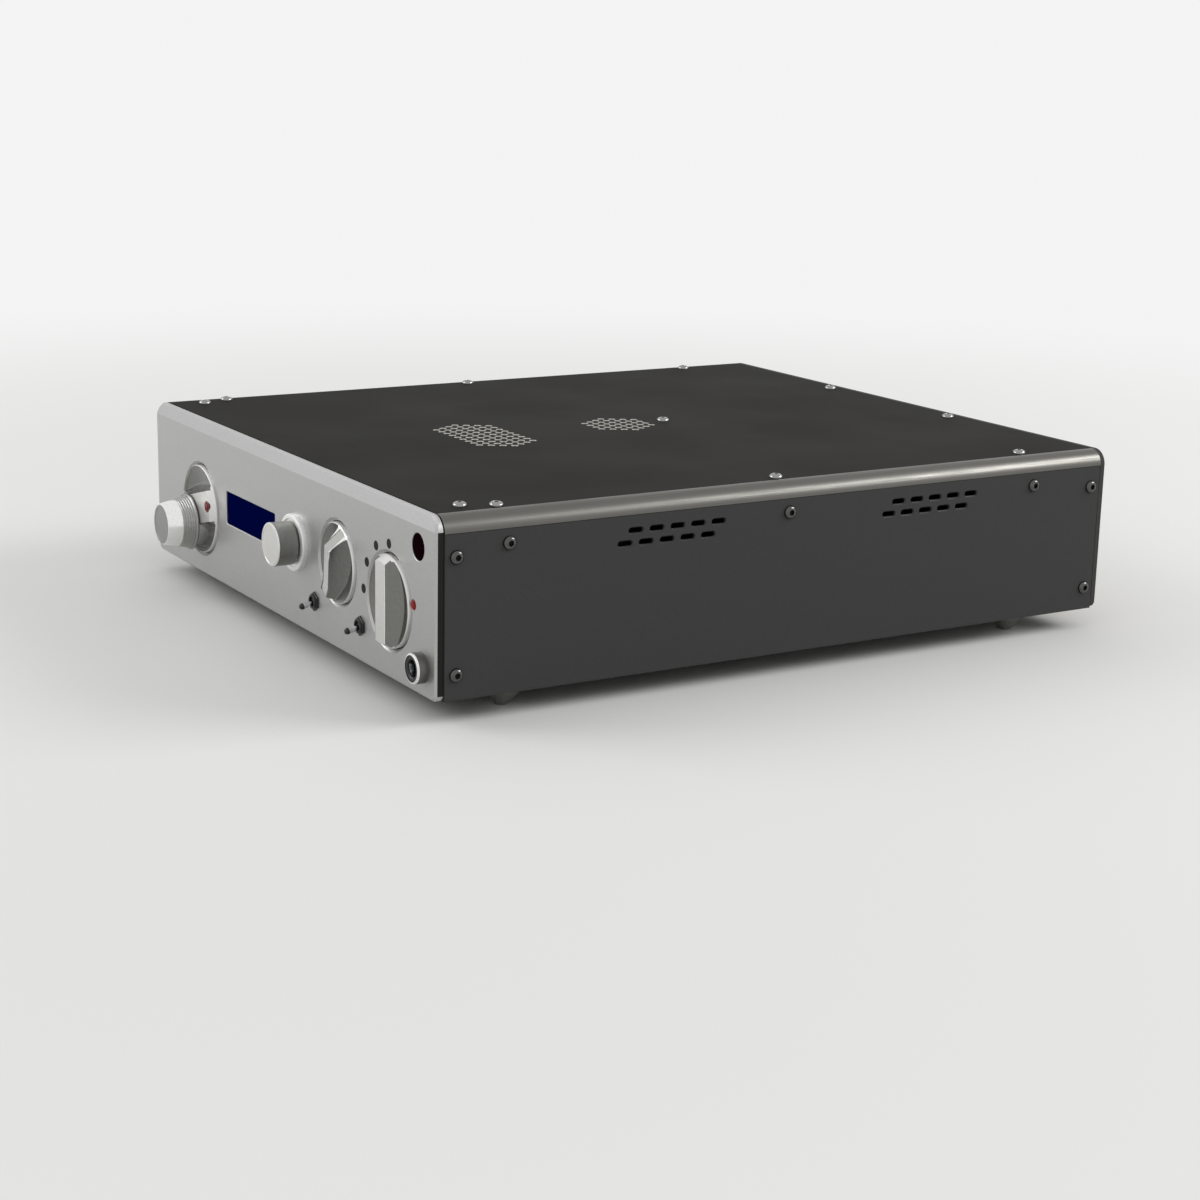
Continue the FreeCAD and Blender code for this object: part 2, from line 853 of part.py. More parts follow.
def finger_knob():
    """Tapered finger knob with a bright lip at the rear, closed in front."""
    r = finger_rear_radius
    knob = faceted(dial_sides, [(r - knob_edge, turning_gap), (r, turning_gap + knob_edge), (r, finger_lip),
                                (r - finger_lip_step, finger_lip + finger_lip_step),
                                (finger_front_radius, finger_length - knob_edge),
                                (finger_front_radius - knob_edge, finger_length)])
    bore = Part.makeCylinder(finger_pin_radius + running_play, finger_pin_length + turning_gap)
    knob = moved(knob.cut(bore), finger_across, -finger_along, volume_bar_height)
    knob.rotate(V(0, 0, 0), V(0, 0, 1), volume_bar_angle - 90)
    return on_panel(knob, volume_x, volume_z)


def balance_collar():
    h = balance_collar_height
    r = balance_collar_radius
    collar = faceted(round_sides, [(r, 0), (r, h - collar_edge), (r - collar_edge, h)])
    return on_panel(collar.cut(prism(inner_sides, 2 * hub_radius, -1, h + 1)), balance_x, balance_z)


def balance_knob():
    base = balance_collar_height + turning_gap
    top = base + balance_length
    r = balance_radius
    knob = faceted(round_sides, [(r, base), (r, top - knob_edge), (r - knob_edge, top)])
    bore = prism(inner_sides, 2 * shaft_radius, base - 1, base + balance_length * knob_bore_share)
    return on_panel(knob.cut(bore), balance_x, balance_z)


def shaft(x, z, front):
    """Control shaft from inside the knob or disc to the control's body."""
    return rod_y(x, z, front, control_y + shaft_reach, shaft_radius)


def disc_shaft(x, z):
    return shaft(x, z, dish_depth + disc_web)


def balance_shaft():
    start = balance_collar_height + turning_gap + balance_length * knob_bore_share
    return shaft(balance_x, balance_z, -start)


def control_body(x, z, radius):
    """Can and bush of a rotary control, bored for its shaft."""
    can = prism(inner_sides, 2 * radius, -control_y - control_depth, -control_y)
    bush = prism(small_sides, 2 * bush_radius, -control_y, bush_length - chassis_y)
    bore = prism(inner_sides, 2 * (shaft_radius + running_play), -control_y - shaft_reach - turning_gap,
                 bush_length + 1 - chassis_y)
    return on_panel(can.fuse(bush).cut(bore), x, z)


def volume_control():
    """Potentiometer with its drive motor behind."""
    start = control_y + control_depth
    motor = prism(inner_sides, 2 * volume_motor_radius, -start - volume_motor_length, -start)
    body = control_body(volume_x, volume_z, volume_body_radius)
    return body.fuse(on_panel(motor, volume_x, volume_z)).removeSplitter()


def rotary_switch(x, z):
    """Rotary switch: a can with contact wafers behind it, between two side rods."""
    body = control_body(x, z, switch_body_radius)
    start = control_y + control_depth
    end = start + switch_wafer_count * switch_wafer_pitch
    for i in range(switch_wafer_count):
        y = start + (i + 1) * switch_wafer_pitch - switch_wafer_thickness
        wafer = prism(8, 2 * switch_body_radius, -y - switch_wafer_thickness, -y)
        body = body.fuse(on_panel(wafer, x, z))
    for s in (-1, 1):
        rod = prism(6, switch_rod_across, -end, -start)
        body = body.fuse(on_panel(rod, x + s * switch_rod_spread, z))
    return body.removeSplitter()


# Display, receiver, toggles and headphone socket

def display_window():
    f = display_fit
    front = box(display_left + f, display_right - f, display_recess, front_thickness,
                display_low + f, display_high - f)
    lip = box(display_left - display_lip, display_right + display_lip, front_thickness,
              front_thickness + display_lip_thickness, display_low - display_lip, display_high + display_lip)
    return front.fuse(lip).removeSplitter()


def display_module():
    y0 = front_thickness + display_lip_thickness + turning_gap
    y1 = chassis_y - turning_gap
    m = display_module_margin
    return box(display_left - m, display_right + m, y0, y1, display_low - m, display_high + m)


def receiver_window():
    t = front_thickness
    front = prism(round_sides, 2 * receiver_radius, -t, -receiver_recess)
    lip = prism(inner_sides, 2 * (receiver_radius + receiver_lip), -t - receiver_lip_thickness, -t)
    return on_panel(front.fuse(lip).removeSplitter(), receiver_x, receiver_z)


def receiver_module():
    y0 = front_thickness + receiver_lip_thickness + turning_gap
    w = receiver_module_width / 2.0
    return box(receiver_x - w, receiver_x + w, y0, chassis_y - turning_gap, receiver_z - w, receiver_z + w)


def toggle_pin_reach():
    """Half the length of a lever's cross pin, whose ends sit in the wall of the bush."""
    return (toggle_bore_radius + toggle_bush_radius) / 2.0


def toggle_pin(x):
    reach = toggle_pin_reach()
    return rod_x(toggle_pivot_depth, toggle_z, x - reach, x + reach, toggle_pin_radius)


def toggle_pin_hole(x):
    reach = toggle_pin_reach() + running_play
    hole = prism(6, 2 * (toggle_pin_radius + running_play), -reach, reach)
    hole.rotate(V(0, 0, 0), V(0, 1, 0), 90)
    return moved(hole, x, toggle_pivot_depth, toggle_z)


def toggle_body(x):
    """Threaded bush with its nut on the front plate, and the switch case behind it."""
    t = front_thickness
    w = toggle_body_width / 2.0
    h = toggle_body_height / 2.0
    case = box(x - w, x + w, t, t + toggle_body_depth, toggle_z - h, toggle_z + h)
    bush = prism(small_sides, 2 * toggle_bush_radius, -t, toggle_bush_height)
    nut = prism(6, toggle_nut_across, 0, toggle_nut_height)
    bore = prism(small_sides, 2 * toggle_bore_radius, -toggle_bore_depth, toggle_bush_height + 1)
    body = case.fuse(on_panel(bush.fuse(nut), x, toggle_z))
    return body.cut(on_panel(bore, x, toggle_z)).cut(toggle_pin_hole(x))


def toggle_lever(x):
    """Lever with a rounded heel, a thin neck and a fuller tip, leaning down on its cross pin."""
    b = toggle_ball_radius
    tip = toggle_tip_radius
    lever = faceted(small_sides, [(toggle_heel_radius, -b), (b, 0), (toggle_neck_radius, b),
                                  (tip, toggle_reach - tip), (toggle_end_radius, toggle_reach)])
    lever.rotate(V(0, 0, 0), V(1, 0, 0), toggle_tilt)
    return moved(on_panel(lever, x, toggle_z), 0, toggle_pivot_depth, 0).fuse(toggle_pin(x))


def headphone_collar():
    """Round collar in front of the plate and the bush through it, with the plug's bore."""
    h = jack_collar_height
    r = jack_collar_radius
    m = jack_mouth
    collar = faceted(round_sides, [(r, 0), (r, h - collar_edge), (r - collar_edge, h)])
    bush = prism(inner_sides, 2 * jack_bush_radius, -front_thickness, 0)
    bore = Part.makeCylinder(jack_bore_radius, h + front_thickness + 2, V(0, 0, -front_thickness - 1))
    wide = jack_bore_radius + m
    mouth = faceted(round_sides, [(jack_bore_radius, h - m), (wide, h), (wide, h + 1)])
    return on_panel(collar.fuse(bush).cut(bore).cut(mouth), jack_x, jack_z)


def headphone_jack():
    """Socket body behind the plate, open for the plug."""
    w = jack_body_size / 2.0
    y0 = front_thickness
    body = box(jack_x - w, jack_x + w, y0, y0 + jack_body_depth, jack_z - w, jack_z + w)
    bore = prism(inner_sides, 2 * (jack_bore_radius + jack_inner_play), wall - y0 - jack_body_depth, 1 - y0)
    return body.cut(on_panel(bore, jack_x, jack_z))


# Electronics

def board_holes():
    i = board_hole_inset
    return [(x, y) for x in (board_left + i, board_right - i) for y in (board_front + i, board_rear - i)]


def main_board():
    z0 = wall + board_height
    board = box(board_left, board_right, board_front, board_rear, z0, z0 + board_thickness)
    hole = prism(6, 2 * (screw_radius + screw_play), 0, board_height + board_thickness + wall + 1)
    return cut_all(board, [moved(hole.copy(), x, y, 0) for x, y in board_holes()])


def board_standoffs():
    """Standoff, stud and nut at each corner of the board."""
    top = wall + board_height
    nut_top = top + board_thickness + standoff_nut_height
    post = prism(6, standoff_across, wall, top)
    stud = prism(6, 2 * screw_radius, top, nut_top)
    nut = prism(6, standoff_across, top + board_thickness, nut_top)
    standoff = post.fuse([stud, nut]).removeSplitter()
    return group([moved(standoff.copy(), x, y, 0) for x, y in board_holes()])


def tube_places():
    return [("left", -tube_pair_x, front_vent_y), ("right", tube_pair_x, front_vent_y),
            ("rear", 0.0, rear_vent_y)]


def tube_sockets():
    z0 = wall + board_height + board_thickness
    base = prism(inner_sides, 2 * tube_socket_radius, z0, z0 + tube_socket_height)
    return group([moved(base.copy(), x, y, 0) for _, x, y in tube_places()])


def tube(x, y):
    """Small glass tube with a drawn-in top and an exhaust tip."""
    top = tube_height
    glass = faceted(inner_sides, [(tube_radius, 0), (tube_radius, top - tube_shoulder),
                                  (tube_crown_radius, top - tube_crown), (tube_tip_radius, top)])
    return moved(glass, x, y, wall + board_height + board_thickness + tube_socket_height)


def capacitor_places():
    x0 = board_left + capacitor_inset
    y0 = board_front + capacitor_first_y
    return [(x0 + i * capacitor_pitch, y0 + j * capacitor_pitch) for i in (0, 1) for j in (0, 1)]


def capacitors():
    can = prism(inner_sides, 2 * capacitor_radius, 0, capacitor_height)
    z0 = wall + board_height + board_thickness
    return group([moved(can.copy(), x, y, z0) for x, y in capacitor_places()])


def transformer():
    """Toroidal transformer: a wound ring with well-rounded edges."""
    a = transformer_hole
    b = transformer_radius
    h = transformer_height
    e = transformer_edge
    outer = faceted(2 * inner_sides, [(b - e, 0), (b, e), (b, h - e), (b - e, h)])
    inner = faceted(2 * inner_sides, [(a + e, 0), (a, e), (a, h - e), (a + e, h)])
    return moved(outer.cut(inner), transformer_x, transformer_y, wall)


def transformer_clamp():
    """Washer over the transformer with its bolt through to the tray."""
    z = wall + transformer_height
    top = z + clamp_height
    washer = prism(2 * inner_sides, 2 * clamp_radius, z, top)
    bolt = prism(6, 2 * clamp_bolt_radius, 0, z)
    head = prism(6, clamp_head_across, top, top + clamp_head_height)
    return moved(washer.fuse([bolt, head]).removeSplitter(), transformer_x, transformer_y, 0)


def heatsink():
    """Finned heatsink standing on the tray."""
    y0 = heatsink_y
    y1 = heatsink_y + heatsink_length
    sink = box(heatsink_x, heatsink_x + heatsink_base, y0, y1, wall, wall + heatsink_height)
    step = (heatsink_length - fin_thickness) / (fin_count - 1)
    for i in range(fin_count):
        y = y0 + i * step
        sink = sink.fuse(box(heatsink_x + heatsink_base, heatsink_x + heatsink_base + fin_reach,
                             y, y + fin_thickness, wall, wall + heatsink_height))
    return sink.removeSplitter()


# Rear sockets

def phono_places():
    first = half_width - phono_inset
    return [(first - i * phono_pitch, z) for z in phono_rows_z for i in range(phono_columns)]


def phono_sockets():
    """Gilded phono sockets: nut and barrel outside, body through the panel."""
    flange = phono_flange_height
    nut = prism(6, 2 * phono_flange_radius, 0, flange)
    barrel = Part.makeCylinder(phono_barrel_radius, phono_barrel_length, V(0, 0, flange))
    bore = prism(6, 2 * phono_bore_radius, flange, flange + phono_barrel_length + 1)
    body = prism(6, 2 * phono_body_radius, -rear_thickness - phono_body_length, 0)
    socket = nut.fuse([barrel, body]).removeSplitter().cut(bore)
    return group([on_rear(socket, x, z) for x, z in phono_places()])


def input_board():
    """Upright board that the phono sockets are soldered to."""
    y1 = cover_rear - phono_body_length - input_board_gap
    y0 = y1 - board_thickness
    x0 = min(x for x, _ in phono_places()) - phono_edge
    x1 = max(x for x, _ in phono_places()) + phono_edge
    top = max(phono_rows_z) + phono_edge
    board = box(x0, x1, y0, y1, wall + input_board_low, top)
    foot_plate = box(x0, x1, y0 - input_board_foot, y0, wall, wall + input_board_foot_thickness)
    return board.fuse(foot_plate).removeSplitter()


def balanced_sockets():
    """Round balanced sockets in rectangular flanges, with three contact holes each."""
    w = balanced_width / 2.0
    h = balanced_height / 2.0
    top = balanced_flange
    floor = -balanced_depth / 2.0
    sides = 2 * inner_sides
    flange = rounded_face(-w, w, -h, h, balanced_corner, balanced_corner).extrude(V(0, top, 0))
    shell = prism(sides, 2 * balanced_shell_radius, -rear_thickness - balanced_depth, 0)
    groove = prism(sides, 2 * (balanced_core_radius + balanced_ring_gap), floor, top + 1)
    tools = [groove.cut(prism(sides, 2 * balanced_core_radius, floor, top + 1))]
    for a in balanced_pin_angles:
        px = balanced_pin_circle * math.cos(math.radians(a))
        pz = balanced_pin_circle * math.sin(math.radians(a))
        tools.append(moved(prism(6, 2 * balanced_pin_hole, floor, top + 1), px, pz, 0))
    flange.rotate(V(0, 0, 0), V(1, 0, 0), 90)
    socket = cut_all(flange.fuse(shell).removeSplitter(), tools)
    return group([on_rear(socket, x, z) for x, z in balanced_places])


def mains_inlet():
    """Three-blade mains inlet, open to the rear, in a flanged shell."""
    fw = inlet_flange_width / 2.0
    fh = inlet_flange_height / 2.0
    w = inlet_opening_width / 2.0
    h = inlet_opening_height / 2.0
    t = inlet_shell
    c = inlet_corner
    flange = rounded_face(-fw, fw, -fh, fh, c, c).extrude(V(0, inlet_flange_thickness, 0))
    back = inlet_depth - inlet_flange_thickness
    shell = box(-w - t, w + t, -back - t, 0, -h - t, h + t)
    body = flange.fuse(shell).removeSplitter().cut(box(-w, w, -back, inlet_flange_thickness + 1, -h, h))
    body.translate(V(inlet_x, case_depth, inlet_z))
    return body


def inlet_blades():
    """Contact blades of the mains inlet: two below and one above, between them."""
    floor = case_depth + inlet_flange_thickness - inlet_depth
    blades = []
    for dx, dz in ((-blade_pitch / 2.0, -blade_height / 2.0), (blade_pitch / 2.0, -blade_height / 2.0),
                   (0.0, blade_height / 2.0)):
        x = inlet_x + dx
        z = inlet_z + dz
        blades.append(box(x - blade_width / 2.0, x + blade_width / 2.0, floor, floor + blade_length,
                          z - blade_height / 2.0, z + blade_height / 2.0))
    return group(blades)


def earth_terminal():
    """Earth stud with its nut screwed down on the panel."""
    inside = rear_thickness + earth_inner_length
    h = earth_nut_height
    stud = Part.makeCylinder(earth_radius, earth_length + inside, V(0, 0, -inside))
    nut = faceted(inner_sides, [(earth_nut_radius, 0), (earth_nut_radius, h - earth_nut_edge),
                                (earth_nut_radius - earth_nut_edge, h)])
    return on_rear(stud.fuse(nut), earth_x, earth_z)


def main():
    os.makedirs("parts", exist_ok=True)
    right_side = side_plate()
    right_rail = corner_rail()
    export("front_plate", front_plate())
    export("front_chassis", chassis_plate())
    export("front_pillars", front_pillars())
    export("top_plate", top_plate())
    export("right_side_plate", right_side)
    export("left_side_plate", mirrored(right_side))
    export("right_corner_rail", right_rail)
    export("left_corner_rail", mirrored(right_rail))
    export("bottom_tray", bottom_tray())
    export("rear_panel", rear_panel())
    names = ("front_left_foot", "front_right_foot", "rear_left_foot", "rear_right_foot")
    for name, (x, y) in zip(names, foot_places()):
        export(name, foot(x, y))
    export("foot_screws", foot_screws())
    export("side_screws", side_screws())
    export("top_screws", top_screws())
    export("volume_disc", volume_disc())
    export("volume_lamp", volume_lamp())
    export("volume_finger_knob", finger_knob())
    export("volume_shaft", disc_shaft(volume_x, volume_z))
    export("volume_control", volume_control())
    export("balance_collar", balance_collar())
    export("balance_knob", balance_knob())
    export("balance_shaft", balance_shaft())
    export("balance_control", control_body(balance_x, balance_z, balance_body_radius))
    export("input_selector_disc", selector_disc(input_disc_radius, input_bar_width, input_bar_angle,
                                                input_x, input_z))
    export("input_selector_shaft", disc_shaft(input_x, input_z))
    export("input_switch", rotary_switch(input_x, input_z))
    export("mode_selector_disc", selector_disc(mode_disc_radius, mode_bar_width, mode_bar_angle,
                                               mode_x, mode_z))
    export("mode_selector_shaft", disc_shaft(mode_x, mode_z))
    export("mode_switch", rotary_switch(mode_x, mode_z))
    export("power_lamp", power_lamp())
    for side, x in toggle_places:
        export(side + "_toggle_body", toggle_body(x))
        export(side + "_toggle_lever", toggle_lever(x))
    export("display_window", display_window())
    export("display_module", display_module())
    export("receiver_window", receiver_window())
    export("receiver_module", receiver_module())
    export("headphone_collar", headphone_collar())
    export("headphone_jack", headphone_jack())
    export("main_board", main_board())
    export("board_standoffs", board_standoffs())
    export("tube_sockets", tube_sockets())
    for side, x, y in tube_places():
        export(side + "_tube", tube(x, y))
    export("capacitors", capacitors())
    export("transformer", transformer())
    export("transformer_clamp", transformer_clamp())
    export("heatsink", heatsink())
    export("input_board", input_board())
    export("phono_sockets", phono_sockets())
    export("balanced_sockets", balanced_sockets())
    export("mains_inlet", mains_inlet())
    export("inlet_blades", inlet_blades())
    export("earth_terminal", earth_terminal())
    print("front face at y", round(front_y, 3), "rear face at y", round(front_y + case_depth, 3))


main()
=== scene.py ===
"""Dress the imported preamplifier: covers, dials, knobs, sockets, feet, floor, light and camera."""

import math

import bmesh
import bpy
from mathutils import Matrix, Vector


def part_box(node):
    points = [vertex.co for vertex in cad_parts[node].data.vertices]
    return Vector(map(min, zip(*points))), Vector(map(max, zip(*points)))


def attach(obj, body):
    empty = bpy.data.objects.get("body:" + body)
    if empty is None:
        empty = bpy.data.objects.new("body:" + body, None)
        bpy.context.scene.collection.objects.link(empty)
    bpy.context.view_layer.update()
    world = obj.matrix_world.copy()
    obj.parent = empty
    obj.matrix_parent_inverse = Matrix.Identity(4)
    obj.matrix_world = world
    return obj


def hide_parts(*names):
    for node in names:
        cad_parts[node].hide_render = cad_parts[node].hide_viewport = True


bl_info = {
    "name": "Preamplifier Dressing",
    "version": (1, 0, 0),
    "blender": (4, 5, 0),
    "location": "View3D > Sidebar > Preamplifier",
    "description": "Builds the covers, dials, knobs, sockets and finishes of a compact preamplifier",
    "category": "Object",
}

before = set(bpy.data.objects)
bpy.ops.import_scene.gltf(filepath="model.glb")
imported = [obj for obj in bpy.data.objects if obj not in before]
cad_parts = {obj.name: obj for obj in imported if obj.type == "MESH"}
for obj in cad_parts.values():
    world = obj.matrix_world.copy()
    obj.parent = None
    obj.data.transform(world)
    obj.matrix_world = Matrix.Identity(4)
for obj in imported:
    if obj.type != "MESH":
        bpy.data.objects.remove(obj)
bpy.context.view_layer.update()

# All lengths are metres; MM turns a size in millimetres into them.
MM = 0.001
SMOOTH_ANGLE = math.radians(28.0)
# The front plate's leaning band stays a crisp fold
FRONT_SMOOTH_ANGLE = math.radians(9.0)
TURNED_SIDES = 96
SMALL_SIDES = 40
# Vertices closer than this are joined, and a smaller radius is a point
JOIN_DISTANCE = 1e-7
LEAST_RADIUS = 1e-6

# Patterns: a wave texture's phase grows by WAVE_RATE over one unit of length, and the middle of a
# noise pattern, PATTERN_RANGE, is spread over all that it drives
WAVE_RATE = 20.0
PATTERN_RANGE = {"From Min": 0.35, "From Max": 0.65}
CLOUD_WIDTH = 60.0 * MM
WEAR_WIDTH = 3.0 * MM
FACET_WIDTH = 0.9 * MM
WEAVE_WIDTH = 0.8 * MM

# Places read from the frame
FRONT_LOW, FRONT_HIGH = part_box("front_plate")
TOP_LOW, TOP_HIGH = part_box("top_plate")
SIDE_LOW, SIDE_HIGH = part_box("right_side_plate")
FRONT_Y = FRONT_LOW.y
REAR_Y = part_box("rear_panel")[1].y
BASE_Z = FRONT_LOW.z
TOP_Z = FRONT_HIGH.z
HALF_WIDTH = FRONT_HIGH.x

# Cover screws, as (across or along, height) from the case's front face and lower edge
SIDE_SCREWS = ((30.0, 57.0), (155.0, 57.0), (280.0, 57.0), (8.4, 9.7), (8.4, 53.8), (312.0, 9.7), (312.0, 53.8))
TOP_SCREWS = ((129.6, 30.0), (129.6, 155.0), (129.6, 280.0), (45.0, 311.0), (124.6, 17.5))
MIDDLE_SCREW = (0.0, 185.0)

# Vents
VENT_PITCH = 4.9 * MM
VENT_RADIUS = 1.3 * MM
VENT_ROWS = 7
VENT_PATCHES = ((94.6 * MM, 12), (161.5 * MM, 7))
SLOT_LENGTH = 6.1 * MM
SLOT_WIDTH = 1.9 * MM
SLOT_PITCH = 9.35 * MM
SLOT_ROWS = ((84.3 * MM, 56.5 * MM), (79.6 * MM, 51.7 * MM))
SLOT_GROUP_STEP = 124.6 * MM
SLOT_COUNT = 5
SLOT_GROUPS = 2
# Width of the broken edge round a vent hole and a slot
VENT_EDGE = 0.3 * MM
SLOT_EDGE = 0.45 * MM

# Sides of round forms that need a count of their own
VENT_SIDES = 18
SCREW_SIDES = 24
LAMP_SIDES = 32
FOOT_SIDES = 64
FINGER_SIDES = 128
RAIL_STEPS = 18
SIDES = ((1, "right"), (-1, "left"))

# Dials: bar width, bar angle in degrees, and heights along the bar as (place, height)
DIALS = {
    "volume_disc": (14.0 * MM, 15.0, ((0.0, 3.1 * MM),)),
    "input_selector_disc": (
        4.8 * MM, 62.0, ((-11.0 * MM, 2.8 * MM), (8.0 * MM, 6.3 * MM), (15.6 * MM, 0.6 * MM))),
    "mode_selector_disc": (8.4 * MM, 90.0, ((0.0, 3.8 * MM),)),
}
DIAL_BODIES = {
    "volume_disc": "volume_dial",
    "input_selector_disc": "input_selector",
    "mode_selector_disc": "mode_selector",
}
# Finger knob's axis, across and along the volume dial's bar
FINGER_AXIS = (5.0 * MM, -7.3 * MM)
DISH_DEPTH = 2.6 * MM
DISC_BACK = 4.4 * MM
HUB_RADIUS = 6.0 * MM
HUB_LENGTH = 3.2 * MM
LAMP_RADIUS = 1.95 * MM
# Lever's angle below level at rest, in degrees
TOGGLE_TILT = 12.0
MARK_ANGLES = (90.0, 120.0, 150.0, 180.0)
MARK_RADIUS = 22.0 * MM
MARK_SIZE = 1.9 * MM

# Camera, matched to the photograph's edges
CAMERA_PLACE = (0.854809, -0.522775, 0.251721)
CAMERA_AZIMUTH = 58.675
CAMERA_ELEVATION = 14.185
CAMERA_ROLL = 1.267
CAMERA_LENS = 69.09
SENSOR_WIDTH = 36.0
CAMERA_CLIP = (0.01, 50.0)

# Stage: backdrop's brightness, where 1 is white; the floor fades into it between two distances
BACKDROP = 0.9
FLOOR_HALF_SIZE = 6.0
FLOOR_FADE = (0.35, 1.1)
# Sky's light at the horizon and overhead
SKY_LIGHT = (0.45, 0.8)
SKY_TOP = 0.9
# Area lights: name, place, target, size and power in watts
SOFTBOXES = (
    ("front_softbox", (-0.9, -1.3, 0.9), (0.0, 0.0, 0.03), (1.0, 0.8), 9.0),
    ("rear_softbox", (0.9, 1.4, 1.0), (0.0, 0.1, 0.03), (1.2, 0.6), 18.0),
)


# Colour and nodes

def hex_colour(code):
    """Turn an sRGB hex colour into linear red, green and blue."""
    linear = []
    for start in (1, 3, 5):
        value = int(code[start:start + 2], 16) / 255.0
        linear.append(value / 12.92 if value <= 0.04045 else ((value + 0.055) / 1.055) ** 2.4)
    return tuple(linear)


def add_node(tree, kind, settings=None, inputs=None):
    """Add a node, set its properties, and set or link its inputs."""
    node = tree.nodes.new(kind)
    for key, value in (settings or {}).items():
        setattr(node, key, value)
    for key, value in (inputs or {}).items():
        if isinstance(value, bpy.types.NodeSocket):
            tree.links.new(value, node.inputs[key])
        else:
            node.inputs[key].default_value = value
    return node


def new_material(name, colour, metallic, roughness, **shader_inputs):
    """Principled material with constant values; returns it with its tree and shader."""
    material = bpy.data.materials.new(name)
    material.use_nodes = True
    tree = material.node_tree
    tree.nodes.clear()
    shader = add_node(tree, "ShaderNodeBsdfPrincipled", None, {
        "Base Color": (*colour, 1.0), "Metallic": metallic, "Roughness": roughness, **shader_inputs})
    add_node(tree, "ShaderNodeOutputMaterial", None, {"Surface": shader.outputs["BSDF"]})
    material.diffuse_color = (*colour, 1.0)
    return material, tree, shader


def object_point(tree, scale=(1.0, 1.0, 1.0), turn=(0.0, 0.0, 0.0), shift=(0.0, 0.0, 0.0)):
    """Point on the piece in its own space, scaled, so that a pattern stays on the piece."""
    place = add_node(tree, "ShaderNodeTexCoord")
    mapping = add_node(tree, "ShaderNodeMapping", {"vector_type": "POINT"}, {
        "Vector": place.outputs["Object"], "Scale": scale, "Rotation": turn, "Location": shift})
    return mapping.outputs["Vector"]


def work_in(tree, shader, colour, relief=None, uneven=None, shade=None):
    """Work a pattern into a finish.

    relief is (height, distance, strength), uneven is (source, least and greatest roughness), and shade is
    (factor, share of the colour that is left where the factor is one).
    """
    if relief:
        bump = add_node(tree, "ShaderNodeBump", None, dict(zip(("Height", "Distance", "Strength"), relief)))
        tree.links.new(bump.outputs["Normal"], shader.inputs["Normal"])
    if uneven:
        rough = add_node(tree, "ShaderNodeMapRange", None, {
            **PATTERN_RANGE, **dict(zip(("Value", "To Min", "To Max"), uneven))})
        tree.links.new(rough.outputs["Result"], shader.inputs["Roughness"])
    if shade:
        factor, left = shade
        mixed = add_node(tree, "ShaderNodeMix", {"data_type": "RGBA"}, {
            "Factor": factor, "A": (*colour, 1.0), "B": (*[c * left for c in colour], 1.0)})
        tree.links.new(mixed.outputs["Result"], shader.inputs["Base Color"])


# Materials

def bead_blasted(name, colour, roughness, grain, depth, metallic=1.0, **shader_inputs):
    """Blasted and anodised aluminium: an even, fine sparkle with no direction."""
    material, tree, shader = new_material(name, colour, metallic, roughness, **shader_inputs)
    fine = add_node(tree, "ShaderNodeTexNoise", None, {
        "Vector": object_point(tree), "Scale": 1.0 / grain, "Detail": 3.0, "Roughness": 0.6})
    cloud = add_node(tree, "ShaderNodeTexNoise", None, {
        "Vector": object_point(tree), "Scale": 1.0 / CLOUD_WIDTH, "Detail": 2.0})
    grains = add_node(tree, "ShaderNodeMapRange", None, {"Value": fine.outputs["Fac"], **PATTERN_RANGE})
    work_in(tree, shader, colour, (fine.outputs["Fac"], depth, 1.0),
            (cloud.outputs["Fac"], roughness - 0.03, roughness + 0.03), (grains.outputs["Result"], 0.91))
    return material


def brushed(name, colour, roughness, streak, length, along, depth=0.004 * MM):
    """Brushed and anodised aluminium: fine streaks in one direction."""
    material, tree, shader = new_material(name, colour, 1.0, roughness)
    scale = [1.0 / streak] * 3
    scale["XYZ".index(along)] = 1.0 / length
    streaks = add_node(tree, "ShaderNodeTexNoise", None, {
        "Vector": object_point(tree, scale), "Scale": 1.0, "Detail": 4.0, "Roughness": 0.65})
    lines = add_node(tree, "ShaderNodeMapRange", None, {"Value": streaks.outputs["Fac"], **PATTERN_RANGE})
    work_in(tree, shader, colour, (streaks.outputs["Fac"], depth, 1.0),
            (streaks.outputs["Fac"], roughness - 0.06, roughness + 0.08), (lines.outputs["Result"], 0.87))
    return material


def machine_turned(name, colour, roughness, centre, groove, depth):
    """Turned aluminium: fine rings about an axis that points out of the front face."""
    material, tree, shader = new_material(name, colour, 1.0, roughness)
    point = object_point(tree, turn=(math.radians(90.0), 0.0, 0.0), shift=(-centre[0], -centre[1], 0.0))
    rings = add_node(tree, "ShaderNodeTexWave", {"wave_type": "RINGS", "rings_direction": "Z"}, {
        "Vector": point, "Scale": 1.0 / groove / WAVE_RATE, "Distortion": 0.3, "Detail": 1.0})
    wear = add_node(tree, "ShaderNodeTexNoise", None, {
        "Vector": object_point(tree), "Scale": 1.0 / WEAR_WIDTH, "Detail": 3.0})
    work_in(tree, shader, colour, (rings.outputs["Fac"], depth, 0.6),
            (wear.outputs["Fac"], roughness - 0.03, roughness + 0.05))
    return material


def moulded(name, colour, roughness, grain, depth, **shader_inputs):
    """Moulded plastic: a faint orange-peel skin and slightly uneven gloss."""
    material, tree, shader = new_material(name, colour, 0.0, roughness, **shader_inputs)
    skin = add_node(tree, "ShaderNodeTexNoise", None, {
        "Vector": object_point(tree), "Scale": 1.0 / grain, "Detail": 2.0})
    work_in(tree, shader, colour, (skin.outputs["Fac"], depth, 1.0),
            (skin.outputs["Fac"], roughness - 0.04, roughness + 0.06))
    return material


